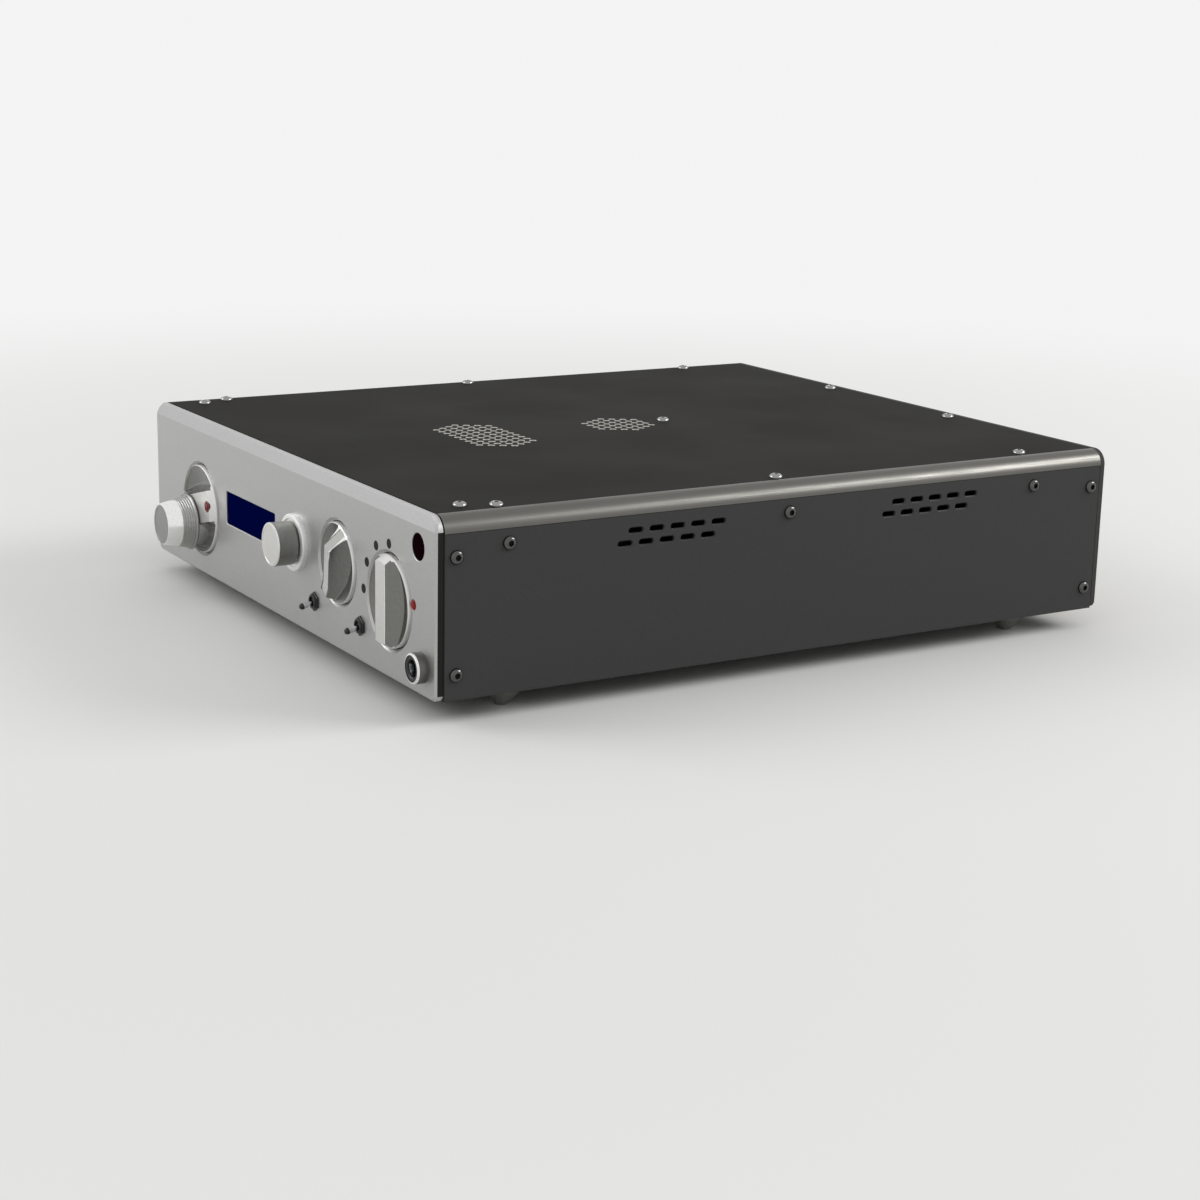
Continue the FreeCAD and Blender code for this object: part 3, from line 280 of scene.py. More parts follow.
def lens(name, colour, glow, strength):
    """Clear red acrylic over a small light: a dark skin, brighter towards its facets."""
    material, tree, shader = new_material(name, colour, 0.0, 0.12, **{
        "Specular IOR Level": 0.15, "Emission Color": (*glow, 1.0), "Emission Strength": strength})
    facets = add_node(tree, "ShaderNodeTexVoronoi", None, {
        "Vector": object_point(tree), "Scale": 1.0 / FACET_WIDTH})
    work_in(tree, shader, colour, (facets.outputs["Distance"], 0.02 * MM, 1.0),
            shade=(facets.outputs["Distance"], 0.5))
    return material


def wound(name, colour, band):
    """Polyester tape wound on a ring: overlapping turns with a soft sheen."""
    material, tree, shader = new_material(name, colour, 0.0, 0.35)
    turns = add_node(tree, "ShaderNodeTexWave", {"bands_direction": "Z"}, {
        "Vector": object_point(tree), "Scale": 1.0 / band / WAVE_RATE, "Distortion": 1.0})
    work_in(tree, shader, colour, (turns.outputs["Fac"], 0.1 * MM, 1.0), shade=(turns.outputs["Fac"], 0.75))
    return material


def laminate(name, colour):
    """Glass-fibre board under green solder lacquer: a woven ground with a clear coat."""
    material, tree, shader = new_material(name, colour, 0.0, 0.4, **{"Coat Weight": 0.5, "Coat Roughness": 0.2})
    weave = add_node(tree, "ShaderNodeTexChecker", None, {
        "Vector": object_point(tree), "Scale": 1.0 / WEAVE_WIDTH})
    work_in(tree, shader, colour, shade=(weave.outputs["Fac"], 0.8))
    return material


def make_finishes(sizes):
    """Every finish of the preamplifier, by name."""
    finger = centre_of("volume_finger_knob")
    balance = centre_of("balance_knob")
    front, cover, knob = tuple(sizes.front_colour), tuple(sizes.cover_colour), tuple(sizes.knob_colour)
    # Grain finer than about half a millimetre would only flicker at this viewing distance, so
    # the patterns below are as coarse as that.
    return {
        # Blasted and anodised front: light neutral satin
        "front": bead_blasted("Satin anodised aluminium, blasted", front, 0.42, 0.6 * MM, 0.008 * MM),
        # Upright sides of the front plate: nearly black, as painted shade, so that the plate looks thin
        "edge": bead_blasted("Front plate sides, painted shade", hex_colour("#232322"), 0.6, 0.6 * MM, 0.008 * MM,
                             0.0, **{"Specular IOR Level": 0.07}),
        # Charcoal anodised covers: dyed oxide, dark and flat, with a fine grain
        "cover": bead_blasted("Charcoal anodised aluminium, blasted", cover, 0.62, 0.6 * MM, 0.01 * MM,
                              0.0, **{"Specular IOR Level": 0.07}),
        # Top cover: the same finish in a darker, warmer colour, as painted shade
        "top": bead_blasted("Charcoal anodised aluminium, painted shade", tuple(sizes.painted_shade_top_colour), 0.65, 0.6 * MM,
                            0.01 * MM, 0.0, **{"Specular IOR Level": 0.05}),
        # Walls and edges of the vent holes: bright bare metal colour, as a painted highlight
        "painted_highlight_edge": bead_blasted("Aluminium, painted highlight on hole edges", hex_colour("#b9b8b2"), 0.4, 0.6 * MM, 0.004 * MM),
        # Extruded rails, brushed along their length and anodised grey
        "rail": brushed("Grey anodised aluminium, brushed", tuple(sizes.rail_colour), 0.34,
                        0.5 * MM, 30.0 * MM, "Y"),
        # Hollows of the dials: buffed smooth, and darker than the faces round them as painted shade
        "polished": bead_blasted("Aluminium, buffed hollows, painted shade", tuple(sizes.painted_shade_hollow_colour), 0.26,
                                 1.6 * MM, 0.002 * MM),
        # Faces of the dials' bars and rims: light, fine satin
        "satin": bead_blasted("Aluminium, satin machined", knob, 0.44, 0.6 * MM, 0.003 * MM),
        # Long slope of the input selector: rougher and darker than the faces beside it, the darker colour as painted
        # shade
        "painted_shade_slope": bead_blasted("Aluminium, slope with painted shade", hex_colour("#a0a09d"), 0.6, 0.6 * MM, 0.003 * MM),
        # Edges of the bars and the finger knob's front band: a lighter, glossier copy of the satin finish, as a
        # painted highlight
        "bright": bead_blasted("Aluminium, painted highlight", hex_colour("#f2f2f0"), 0.22, 0.8 * MM, 0.0015 * MM),
        # Collars on the front: nearly white, as painted light
        "painted_light": bead_blasted("Aluminium, painted light", hex_colour("#f4f4f2"), 0.34, 0.6 * MM, 0.003 * MM, 0.85),
        # Finger knob's face: turned on a lathe, grey with faint rings
        "finger": machine_turned("Aluminium, turned face", hex_colour("#989896"), 0.36,
                                 (finger.x, finger.z), 0.8 * MM, 0.002 * MM),
        # Knobs' sides: streaks along the axis, darker on the balance knob
        "grip": brushed("Aluminium, fine grooved grip", hex_colour("#a6a6a3"), 0.3, 0.5 * MM, 4.0 * MM,
                        "X", 0.003 * MM),
        "dark_grip": brushed("Aluminium, close grooved grip", hex_colour("#8e8e8a"), 0.34, 0.5 * MM, 4.0 * MM,
                             "X", 0.003 * MM),
        # Balance knob's face: light, with faint rings
        "balance": machine_turned("Aluminium, fine turned", knob, 0.3, (balance.x, balance.z), 0.8 * MM,
                                  0.002 * MM),
        # Feet, and screws that catch small bright glints
        "foot": brushed("Aluminium, turned feet", hex_colour("#a9a8a4"), 0.3, 0.5 * MM, 0.5 * MM, "X"),
        "screw": brushed("Stainless steel, polished heads", hex_colour("#9c9c9a"), 0.18, 0.5 * MM, 0.9 * MM, "Z"),
        # Side screws: a darker copy of the screw finish on the charcoal covers, as painted shade
        "painted_shade_screw": brushed("Steel, heads with painted shade", hex_colour("#5e5e5d"), 0.16, 0.5 * MM, 0.9 * MM, "Z"),
        # Chassis, cans and blades: cool, even grey
        "plated": bead_blasted("Zinc plated steel, pressed", hex_colour("#a3a7a8"), 0.35, 0.8 * MM, 0.006 * MM),
        # Toggle levers and the headphone bore: nearly a mirror
        "chrome": bead_blasted("Brass, chrome plated", hex_colour("#dcdee0"), 0.1, 1.5 * MM, 0.001 * MM),
        # Rear sockets and the earth terminal: warm gold
        "gilt": brushed("Brass, gold plated", hex_colour("#d29a4a"), 0.22, 0.5 * MM, 1.5 * MM, "X"),
        # Sockets and mouths: deep black with a low sheen, and flat black print for the marks, also laid in the
        # screws' driver sockets as painted shade
        "black": moulded("Black nylon, moulded", hex_colour("#101010"), 0.38, 0.6 * MM, 0.006 * MM),
        "ink_and_shade": moulded("Black print and painted shade", hex_colour("#0a0a0b"), 0.55, 0.6 * MM, 0.002 * MM,
                       **{"Specular IOR Level": 0.2}),
        # Insulating rings of the phono sockets
        "white": moulded("White nylon, moulded", hex_colour("#dcdcd6"), 0.4, 0.6 * MM, 0.006 * MM),
        "red": moulded("Red nylon, moulded", hex_colour("#a3161b"), 0.4, 0.6 * MM, 0.006 * MM),
        # Dyed acrylic window over the display: deep navy without a reflection
        "display": moulded("Navy acrylic, cast", tuple(sizes.display_colour), 0.3, 3.0 * MM, 0.001 * MM,
                           **{"Specular IOR Level": 0.0}),
        # Infra-red window: near black with a plum cast
        "receiver": moulded("Plum acrylic, moulded", hex_colour("#12040a"), 0.3, 3.0 * MM, 0.001 * MM,
                            **{"Specular IOR Level": 0.0}),
        # Lamps: dark red with a weak glow, and a ring round the one on the dial
        "lamp": lens("Red acrylic, lit lens", hex_colour("#640812"), hex_colour("#ff1420"), 0.09),
        "dim_lamp": lens("Red acrylic, dim lens", hex_colour("#6a1018"), hex_colour("#c81420"), 0.06),
        "seat": moulded("Dark red acrylic, pressed ring", hex_colour("#6a2228"), 0.3, 0.6 * MM, 0.004 * MM),
        # Inside, seen only through the vents: green board, cream sockets, grey glass, blue sleeves, amber tape
        "board": laminate("Glass-fibre board, lacquered", hex_colour("#1d5a34")),
        "ceramic": moulded("Steatite, glazed", hex_colour("#dad4c6"), 0.25, 1.0 * MM, 0.01 * MM),
        "bulb": moulded("Tube glass, silvered", hex_colour("#8f9694"), 0.08, 6.0 * MM, 0.01 * MM),
        "sleeve": moulded("Vinyl sleeve, shrunk", hex_colour("#1c2440"), 0.3, 2.0 * MM, 0.02 * MM),
        "tape": wound("Polyester tape, wound", hex_colour("#b98a2c"), 3.0 * MM),
    }


FINISHES = {}


# Mesh tools

def centre_of(node):
    low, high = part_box(node)
    return (low + high) / 2.0


def radius_of(node):
    low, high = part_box(node)
    return (high.x - low.x) / 2.0


def front_place(x, z, proud=0.0):
    """Local X to the right, local Y up, local Z out of the front face."""
    turn = Matrix(((1, 0, 0), (0, 0, -1), (0, 1, 0))).to_4x4()
    return Matrix.Translation((x, FRONT_Y - proud, z)) @ turn


def front_of(node):
    """Front place at the node's centre."""
    centre = centre_of(node)
    return front_place(centre.x, centre.z)


def box_place(low, high):
    """Front place in the middle of a box, whose local Z starts at the box's rear end."""
    centre = (low + high) / 2.0
    return front_place(centre.x, centre.z, FRONT_Y - high.y)


def rear_place(x, z):
    """Local X to the viewer's right behind the case, local Y up, local Z out of the rear."""
    turn = Matrix(((-1, 0, 0), (0, 0, 1), (0, 1, 0))).to_4x4()
    return Matrix.Translation((x, REAR_Y, z)) @ turn


def side_place(side, y=0.0, z=0.0):
    """Local X towards the rear on the right side, local Y up, local Z out of the side."""
    turn = Matrix(((0, 0, side), (side, 0, 0), (0, 1, 0))).to_4x4()
    return Matrix.Translation((side * HALF_WIDTH, y, z)) @ turn


def top_place(x=0.0, y=0.0):
    return Matrix.Translation((x, y, TOP_Z))


def loop_at(bm, place, points, height):
    return [bm.verts.new(place @ Vector((x, y, height))) for x, y in points]


def stacked_loops(bm, place, layers):
    """Loops of vertices, one for each (points, height)."""
    return [loop_at(bm, place, points, height) for points, height in layers]


def bridge(bm, low, high, material=0):
    """Faces between two closed loops, either of which may be a single point."""
    n = max(len(low), len(high))
    for i in range(n):
        j = (i + 1) % n
        corners = [low[i % len(low)], low[j % len(low)], high[j % len(high)], high[i % len(high)]]
        corners = list(dict.fromkeys(corners))
        if len(corners) > 2:
            bm.faces.new(corners).material_index = material


def bridge_all(bm, loops, material=0):
    for low, high in zip(loops, loops[1:]):
        bridge(bm, low, high, material)


def turn_profile(bm, place, profile, sides=TURNED_SIDES, closed=False):
    """Revolve (radius, height, material) points about the local Z axis."""
    loops = []
    for radius, height, *_ in profile:
        if radius < LEAST_RADIUS:
            loops.append([bm.verts.new(place @ Vector((0, 0, height)))])
        else:
            loops.append(loop_at(bm, place, circle(0, 0, radius, sides), height))
    for i in range(len(loops) - 1 + closed):
        after = (i + 1) % len(loops)
        material = profile[after][2] if len(profile[after]) > 2 else 0
        bridge(bm, loops[i], loops[after], material)


def fill_flat(bm, loops, material=0):
    """Flat face with holes, from closed loops of points, the outer one first."""
    edges = []
    for loop in loops:
        for a, b in zip(loop, loop[1:] + loop[:1]):
            edges.append(bm.edges.get((a, b)) or bm.edges.new((a, b)))
    made = bmesh.ops.triangle_fill(bm, use_beauty=True, edges=edges)
    for item in made["geom"]:
        if isinstance(item, bmesh.types.BMFace):
            item.material_index = material


def layered_plate(bm, place, contours, hole_material=0):
    """Plate from contours, each a list of (points, height) from front to back, the outer one first."""
    made = [stacked_loops(bm, place, layers) for layers in contours]
    for number, loops in enumerate(made):
        bridge_all(bm, loops, hole_material if number else 0)
    fill_flat(bm, [loops[0] for loops in made])
    fill_flat(bm, [loops[-1] for loops in made])


def open_cap(bm, place, layers):
    """Cap from (points, height) layers, closed at the last one and open at the first."""
    loops = stacked_loops(bm, place, layers)
    bridge_all(bm, loops)
    fill_flat(bm, [loops[-1]])


def circle(x, y, radius, sides=SMALL_SIDES, turn=0.0):
    """Points round a circle; with few sides a polygon, turned by the given degrees."""
    steps = [2.0 * math.pi * i / sides + math.radians(turn) for i in range(sides)]
    return [(x + radius * math.cos(a), y + radius * math.sin(a)) for a in steps]


def hexagon(radius):
    """Corners of a nut with two sides upright."""
    return circle(0, 0, radius, 6, 30.0)


def rounded_rectangle(x0, x1, y0, y1, low_radius, high_radius, steps=10):
    """Rectangle with rounded corners, anticlockwise from the lower right."""
    corners = ((x1, y0, low_radius, -90.0, 1, -1), (x1, y1, high_radius, 0.0, 1, 1),
               (x0, y1, high_radius, 90.0, -1, 1), (x0, y0, low_radius, 180.0, -1, -1))
    points = []
    for x, y, radius, start, sx, sy in corners:
        for i in range(steps + 1):
            a = math.radians(start + 90.0 * i / steps)
            points.append((x - sx * radius + radius * math.cos(a), y - sy * radius + radius * math.sin(a)))
    return points


def centred_rectangle(half_x, half_y, low_radius, high_radius, steps):
    return rounded_rectangle(-half_x, half_x, -half_y, half_y, low_radius, high_radius, steps)


def square_cornered(x0, x1, y0, y1, inset):
    return [(x0 + inset, y0 + inset), (x1 - inset, y0 + inset), (x1 - inset, y1 - inset), (x0 + inset, y1 - inset)]


def plate_rim(outline_at, edge, thickness):
    """Outer contour of a plate whose front edge is broken; its outline is drawn in by an inset."""
    return [(outline_at(edge), 0.0), (outline_at(0.0), -edge), (outline_at(0.0), -thickness)]


def hole(points_at, size, edge, depth):
    """Contour of a hole with a small edge: its mouth, its wall and its back."""
    return [(points_at(size + edge), 0.0), (points_at(size), -edge), (points_at(size), -depth)]


def finish_piece(name, bm, materials, body, replaced=(), smooth=SMOOTH_ANGLE):
    """Turn a bmesh into a piece that rides on a body and stands for CAD nodes."""
    bmesh.ops.remove_doubles(bm, verts=bm.verts, dist=JOIN_DISTANCE)
    bmesh.ops.recalc_face_normals(bm, faces=bm.faces)
    for edge in bm.edges:
        edge.smooth = len(edge.link_faces) == 2 and edge.calc_face_angle(0.0) < smooth
    for face in bm.faces:
        face.smooth = True
    mesh = bpy.data.meshes.new(name)
    bm.to_mesh(mesh)
    bm.free()
    for material in materials:
        mesh.materials.append(FINISHES[material])
    piece = bpy.data.objects.new(name, mesh)
    bpy.context.collection.objects.link(piece)
    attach(piece, body)
    if replaced:
        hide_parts(*replaced)


def turned_piece(name, place, profile, materials, body, replaced, sides=TURNED_SIDES, closed=False):
    """Piece that is one turned profile."""
    bm = bmesh.new()
    turn_profile(bm, place, profile, sides, closed)
    finish_piece(name, bm, materials, body, replaced)


def paint_node(node, material):
    """Give a CAD node that is shown as it is its finish."""
    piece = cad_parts[node]
    if not piece.material_slots:
        piece.data.materials.append(FINISHES[material])
    for place in piece.material_slots:
        place.material = FINISHES[material]


# Settings

class PreampSizes(bpy.types.PropertyGroup):
    """Sizes and colours of the case and its controls."""

    edge_bevel: bpy.props.FloatProperty(
        name="Front edge", description="Width of the bevel round the front plate",
        default=0.8 * MM, unit="LENGTH")
    band_height: bpy.props.FloatProperty(
        name="Top band", description="Height of the band that leans back along the front's top edge",
        default=5.6 * MM, unit="LENGTH")
    band_depth: bpy.props.FloatProperty(
        name="Band depth", description="How far the band leans back at the top edge",
        default=1.3 * MM, unit="LENGTH")
    top_corner: bpy.props.FloatProperty(
        name="Upper corner", description="Radius of the case's upper corners", default=6.4 * MM, unit="LENGTH")
    low_corner: bpy.props.FloatProperty(
        name="Lower corner", description="Radius of the front's lower corners", default=3.0 * MM, unit="LENGTH")
    cover_edge: bpy.props.FloatProperty(
        name="Cover edge", description="Width of the bright broken edge of each cover",
        default=0.25 * MM, unit="LENGTH")
    dial_gap: bpy.props.FloatProperty(
        name="Dial gap", description="Gap round each dial disc", default=0.35 * MM, unit="LENGTH")
    dial_bevel: bpy.props.FloatProperty(
        name="Dial bevel", description="Bevel round the opening of each dial", default=1.3 * MM, unit="LENGTH")
    front_colour: bpy.props.FloatVectorProperty(
        name="Front", description="Colour of the front plate", subtype="COLOR", default=hex_colour("#bababa"))
    cover_colour: bpy.props.FloatVectorProperty(
        name="Covers", description="Colour of the covers", subtype="COLOR", default=hex_colour("#414141"))
    # The top cover's darker colour is painted shade
    painted_shade_top_colour: bpy.props.FloatVectorProperty(
        name="Top cover", description="Colour of the top cover", subtype="COLOR", default=hex_colour("#21201c"))
    rail_colour: bpy.props.FloatVectorProperty(
        name="Rails", description="Colour of the corner rails", subtype="COLOR", default=hex_colour("#6c6b67"))
    knob_colour: bpy.props.FloatVectorProperty(
        name="Knobs", description="Colour of the knobs and dials", subtype="COLOR", default=hex_colour("#dedddb"))
    # The hollows' darker colour is painted shade
    painted_shade_hollow_colour: bpy.props.FloatVectorProperty(
        name="Hollows", description="Colour of the dials' hollows", subtype="COLOR", default=hex_colour("#80807d"))
    display_colour: bpy.props.FloatVectorProperty(
        name="Display", description="Colour of the display window", subtype="COLOR", default=hex_colour("#01063a"))


class PreampOperator(bpy.types.Operator):
    """Base of the operators that build the pieces."""

    bl_options = {"REGISTER", "UNDO"}

    def execute(self, context):
        self.build(context.scene.preamp_sizes)
        return {"FINISHED"}


# Case

def front_outline(sizes, inset, steps=14):
    """Outline of the front plate and of the rear panel, drawn in by the inset."""
    x = HALF_WIDTH - inset
    return rounded_rectangle(-x, x, BASE_Z + inset, TOP_Z - inset,
                             sizes.low_corner - inset, sizes.top_corner - inset, steps)


def split_at(points, height):
    """Insert points where a closed outline crosses a height; returns them with their places."""
    out = []
    marks = []
    for a, b in zip(points, points[1:] + points[:1]):
        out.append(a)
        if (a[1] - height) * (b[1] - height) < 0:
            t = (height - a[1]) / (b[1] - a[1])
            marks.append(len(out))
            out.append((a[0] + t * (b[0] - a[0]), height))
    return out, marks


def dial_holes(sizes):
    """Contours of the openings in the front plate."""
    depth = FRONT_HIGH.y - FRONT_Y
    holes = []
    for node in DIALS:
        centre, radius = centre_of(node), radius_of(node) + sizes.dial_gap
        holes.append(hole(lambda r, c=centre: circle(c.x, c.z, r, TURNED_SIDES), radius, sizes.dial_bevel, depth))
    low, high = display_box()
    holes.append(hole(lambda e: rounded_rectangle(low.x - e, high.x + e, low.z - e, high.z + e,
                                                  0.6 * MM, 0.6 * MM, 4), 0.0, 0.2 * MM, depth))
    for node, radius, edge in (("receiver_window", 5.15 * MM, 0.25 * MM), ("balance_collar", 6.1 * MM, 0.1 * MM),
                               ("headphone_collar", 4.7 * MM, 0.1 * MM),
                               ("power_lamp", LAMP_RADIUS + 0.1 * MM, 0.1 * MM),
                               ("left_toggle_body", 3.15 * MM, 0.1 * MM), ("right_toggle_body", 3.15 * MM, 0.1 * MM)):
        centre = centre_of(node)
        holes.append(hole(lambda r, c=centre: circle(c.x, c.z, r), radius, edge, depth))
    return holes


def display_box():
    """Corners of the display opening: the window's front part without its hidden lip."""
    low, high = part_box("display_window")
    lip = 1.85 * MM
    return Vector((low.x + lip, low.y, low.z + lip)), Vector((high.x - lip, high.y, high.z - lip))


class PREAMP_OT_front_plate(PreampOperator):
    """Front plate with its leaning top band, bevelled edge and openings."""

    bl_idname = "preamp.front_plate"
    bl_label = "Front Plate"

    def build(self, sizes):
        bm = bmesh.new()
        place = front_place(0.0, 0.0)
        depth = FRONT_HIGH.y - FRONT_Y
        split = TOP_Z - sizes.band_height
        inner, marks = split_at(front_outline(sizes, sizes.edge_bevel), split)
        outer = split_at(front_outline(sizes, 0.0), split)[0]
        if len(inner) != len(outer):
            raise RuntimeError("the front plate's outlines don't match")
        loops = stacked_loops(bm, place, [(inner, 0.0), (outer, -sizes.edge_bevel), (outer, -depth)])
        first, last = sorted(marks)
        band = loops[0][first:last + 1]
        lower = loops[0][last:] + loops[0][:first + 1]
        bridge_all(bm, loops)
        bm.faces.new(band)
        holes = []
        for layers in dial_holes(sizes):
            made = stacked_loops(bm, place, layers)
            bridge_all(bm, made)
            holes.append(made)
        fill_flat(bm, [lower] + [made[0] for made in holes])
        fill_flat(bm, [loops[2]] + [made[-1] for made in holes])
        slope = sizes.band_depth / sizes.band_height
        for vert in loops[0] + loops[1]:
            vert.co.y += max(0.0, vert.co.z - split) * slope
        # The plate's two upright sides are painted nearly black as shade
        bm.normal_update()
        for face in bm.faces:
            if abs(face.normal.x) > 0.75 and abs(face.calc_center_median().x) > HALF_WIDTH - 0.1 * MM:
                face.material_index = 1
        finish_piece("front_plate_dressed", bm, ["front", "edge"], "case", ["front_plate"],
                     FRONT_SMOOTH_ANGLE)


def vent_centres():
    """Places of the vent holes: rows that shorten away from the middle one."""
    places = []
    middle = (VENT_ROWS - 1) // 2
    for y0, across in VENT_PATCHES:
        for row in range(VENT_ROWS):
            step = row - middle
            count = across - abs(step)
            y = FRONT_Y + y0 + step * VENT_PITCH * math.sqrt(0.75)
            places += [((i - (count - 1) / 2.0) * VENT_PITCH, y) for i in range(count)]
    return places


class PREAMP_OT_top_cover(PreampOperator):
    """Top cover with its round vent holes and broken edges."""

    bl_idname = "preamp.top_cover"
    bl_label = "Top Cover"

    def build(self, sizes):
        bm = bmesh.new()
        thickness = TOP_HIGH.z - TOP_LOW.z
        contours = [plate_rim(lambda inset: square_cornered(-TOP_HIGH.x, TOP_HIGH.x, TOP_LOW.y, TOP_HIGH.y, inset),
                              sizes.cover_edge, thickness)]
        for x, y in vent_centres():
            contours.append(hole(lambda r: circle(x, y, r, VENT_SIDES), VENT_RADIUS, VENT_EDGE, thickness))
        # The holes' edges and walls take the bright metal finish, as a painted highlight
        layered_plate(bm, top_place(), contours, 1)
        # The top cover takes the darker colour, as painted shade
        finish_piece("top_cover", bm, ["top", "painted_highlight_edge"], "case", ["top_plate"])


class PREAMP_OT_side_covers(PreampOperator):
    """Side covers with rounded slots and broken edges."""

    bl_idname = "preamp.side_covers"
    bl_label = "Side Covers"

    def build(self, sizes):
        thickness = SIDE_HIGH.x - SIDE_LOW.x
        for side, name in SIDES:
            bm = bmesh.new()
            y0, y1 = sorted((side * SIDE_LOW.y, side * SIDE_HIGH.y))
            contours = [plate_rim(lambda inset: square_cornered(y0, y1, SIDE_LOW.z, SIDE_HIGH.z, inset),
                                  sizes.cover_edge, thickness)]
            for group in range(SLOT_GROUPS):
                for first, height in SLOT_ROWS:
                    for i in range(SLOT_COUNT):
                        y = side * (FRONT_Y + first + group * SLOT_GROUP_STEP + i * SLOT_PITCH)
                        z = BASE_Z + height
                        contours.append(hole(lambda r: rounded_rectangle(
                            y - SLOT_LENGTH / 2.0 - r, y + SLOT_LENGTH / 2.0 + r, z - SLOT_WIDTH / 2.0 - r,
                            z + SLOT_WIDTH / 2.0 + r, SLOT_WIDTH / 2.0 + r, SLOT_WIDTH / 2.0 + r, 6),
                            0.0, SLOT_EDGE, thickness))
            # The slots' edges and walls take the black finish, as painted shade of the dark inside
            layered_plate(bm, side_place(side), contours, 1)
            finish_piece(name + "_side_cover", bm, ["cover", "black"], "case", [name + "_side_plate"])


class PREAMP_OT_corner_rails(PreampOperator):
    """Rounded corner rails with a ledge under each cover."""

    bl_idname = "preamp.corner_rails"
    bl_label = "Corner Rails"

    def build(self, sizes):
        low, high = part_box("right_corner_rail")
        r = sizes.top_corner
        edge = sizes.cover_edge
        wall = 2.0 * MM
        top, x = TOP_Z, HALF_WIDTH
        profile = [(x - edge, top - r), (x, top - r + edge)]
        for i in range(RAIL_STEPS + 1):
            a = math.radians(90.0 * i / RAIL_STEPS)
            profile.append((x - r + r * math.cos(a), top - r + r * math.sin(a)))
        profile += [(x - r + edge, top), (x - r, top - edge), (x - r, top - wall),
                    (low.x, top - wall), (low.x, top - 2 * wall), (x - 2 * wall, top - 2 * wall),
                    (x - 2 * wall, top - r)]
        for side, name in SIDES:
            bm = bmesh.new()
            place = Matrix(((side, 0, 0), (0, 0, 1), (0, 1, 0))).to_4x4()
            layered_plate(bm, place, [[(profile, low.y), (profile, high.y)]])
            finish_piece(name + "_rail_dressed", bm, ["rail"], "case", [name + "_corner_rail"])


class PREAMP_OT_rear_panel(PreampOperator):
    """Rear panel with its rounded corners and socket openings."""

    bl_idname = "preamp.rear_panel"
    bl_label = "Rear Panel"

    def build(self, sizes):
        bm = bmesh.new()
        edge, thickness = 0.1 * MM, 2.5 * MM
        contours = [plate_rim(lambda inset: front_outline(sizes, inset, 12), 0.3 * MM, thickness)]

        def round_hole(x, z, radius):
            contours.append(hole(lambda r: circle(-x, z, r), radius, edge, thickness))

        for x, z in phono_places():
            round_hole(x, z, 5.4 * MM)
        for x in balanced_places():
            round_hole(x, centre_of("balanced_sockets").z, 11.8 * MM)
        inlet, half_x, half_z = centre_of("mains_inlet"), 14.1 * MM, 10.0 * MM
        contours.append(hole(lambda r: rounded_rectangle(
            -inlet.x - half_x - r, -inlet.x + half_x + r, inlet.z - half_z - r, inlet.z + half_z + r,
            1.0 * MM, 1.0 * MM, 4), 0.0, edge, thickness))
        earth = centre_of("earth_terminal")
        round_hole(earth.x, earth.z, 2.1 * MM)
        layered_plate(bm, rear_place(0.0, 0.0), contours)
        finish_piece("rear_panel_dressed", bm, ["cover"], "case", ["rear_panel"])


# Screws and feet

def screw_head(bm, place):
    """Domed head with a flange edge and a six-sided driver socket."""
    radius, height, reach, flange = 2.7 * MM, 1.5 * MM, 1.15 * MM, 0.15 * MM
    dome = [(radius, 0.0), (radius, flange)]
    for i in range(1, 9):
        a = math.radians(90.0 * i / 8)
        dome.append((reach + (radius - reach) * math.cos(a), flange + (height - flange) * math.sin(a)))
    loops = stacked_loops(bm, place, [(circle(0, 0, r, SCREW_SIDES), h) for r, h in dome])
    socket = stacked_loops(bm, place, [(six_sided(1.0 * MM, SCREW_SIDES), height - 0.12 * MM),
                                       (six_sided(0.94 * MM, SCREW_SIDES), height - 1.0 * MM)])
    bridge_all(bm, loops)
    bridge(bm, loops[-1], socket[0])
    # The driver socket's wall and floor take the second finish, black as painted shade
    bridge(bm, socket[0], socket[1], 1)
    bridge(bm, socket[1], [bm.verts.new(place @ Vector((0, 0, height - 1.15 * MM)))], 1)
    shank = circle(0, 0, 1.5 * MM, SCREW_SIDES)
    tip = loop_at(bm, place, shank, -4.5 * MM)
    bridge_all(bm, [loops[0], loop_at(bm, place, shank, 0.0), tip])
    fill_flat(bm, [tip])


def six_sided(across, count):
    """Points round a regular hexagon of the given half width, spaced for a round loop."""
    points = []
    for i in range(count):
        a = 2.0 * math.pi * i / count
        part = (a + math.pi / 6.0) % (math.pi / 3.0) - math.pi / 6.0
        r = across / math.cos(part)
        points.append((r * math.cos(a), r * math.sin(a)))
    return points


class PREAMP_OT_screws(PreampOperator):
    """Domed socket screws of the covers and feet."""

    bl_idname = "preamp.screws"
    bl_label = "Screws"

    def build(self, sizes):
        bm = bmesh.new()
        for side in (1, -1):
            for number, (y, z) in enumerate(SIDE_SCREWS):
                turn = Matrix.Rotation(math.radians(37.0 * number), 4, "Z")
                screw_head(bm, side_place(side, FRONT_Y + y * MM, BASE_Z + z * MM) @ turn)
        # The side screws take a darker copy of the screw finish, as painted shade
        finish_piece("side_screw_heads", bm, ["painted_shade_screw", "ink_and_shade"], "case", ["side_screws"])
        bm = bmesh.new()
        places = [(side * x, y) for side in (1, -1) for x, y in TOP_SCREWS] + [MIDDLE_SCREW]
        for number, (x, y) in enumerate(places):
            turn = Matrix.Rotation(math.radians(23.0 * number), 4, "Z")
            screw_head(bm, top_place(x * MM, FRONT_Y + y * MM) @ turn)
        finish_piece("top_screw_heads", bm, ["screw", "ink_and_shade"], "case", ["top_screws"])
        paint_node("foot_screws", "screw")


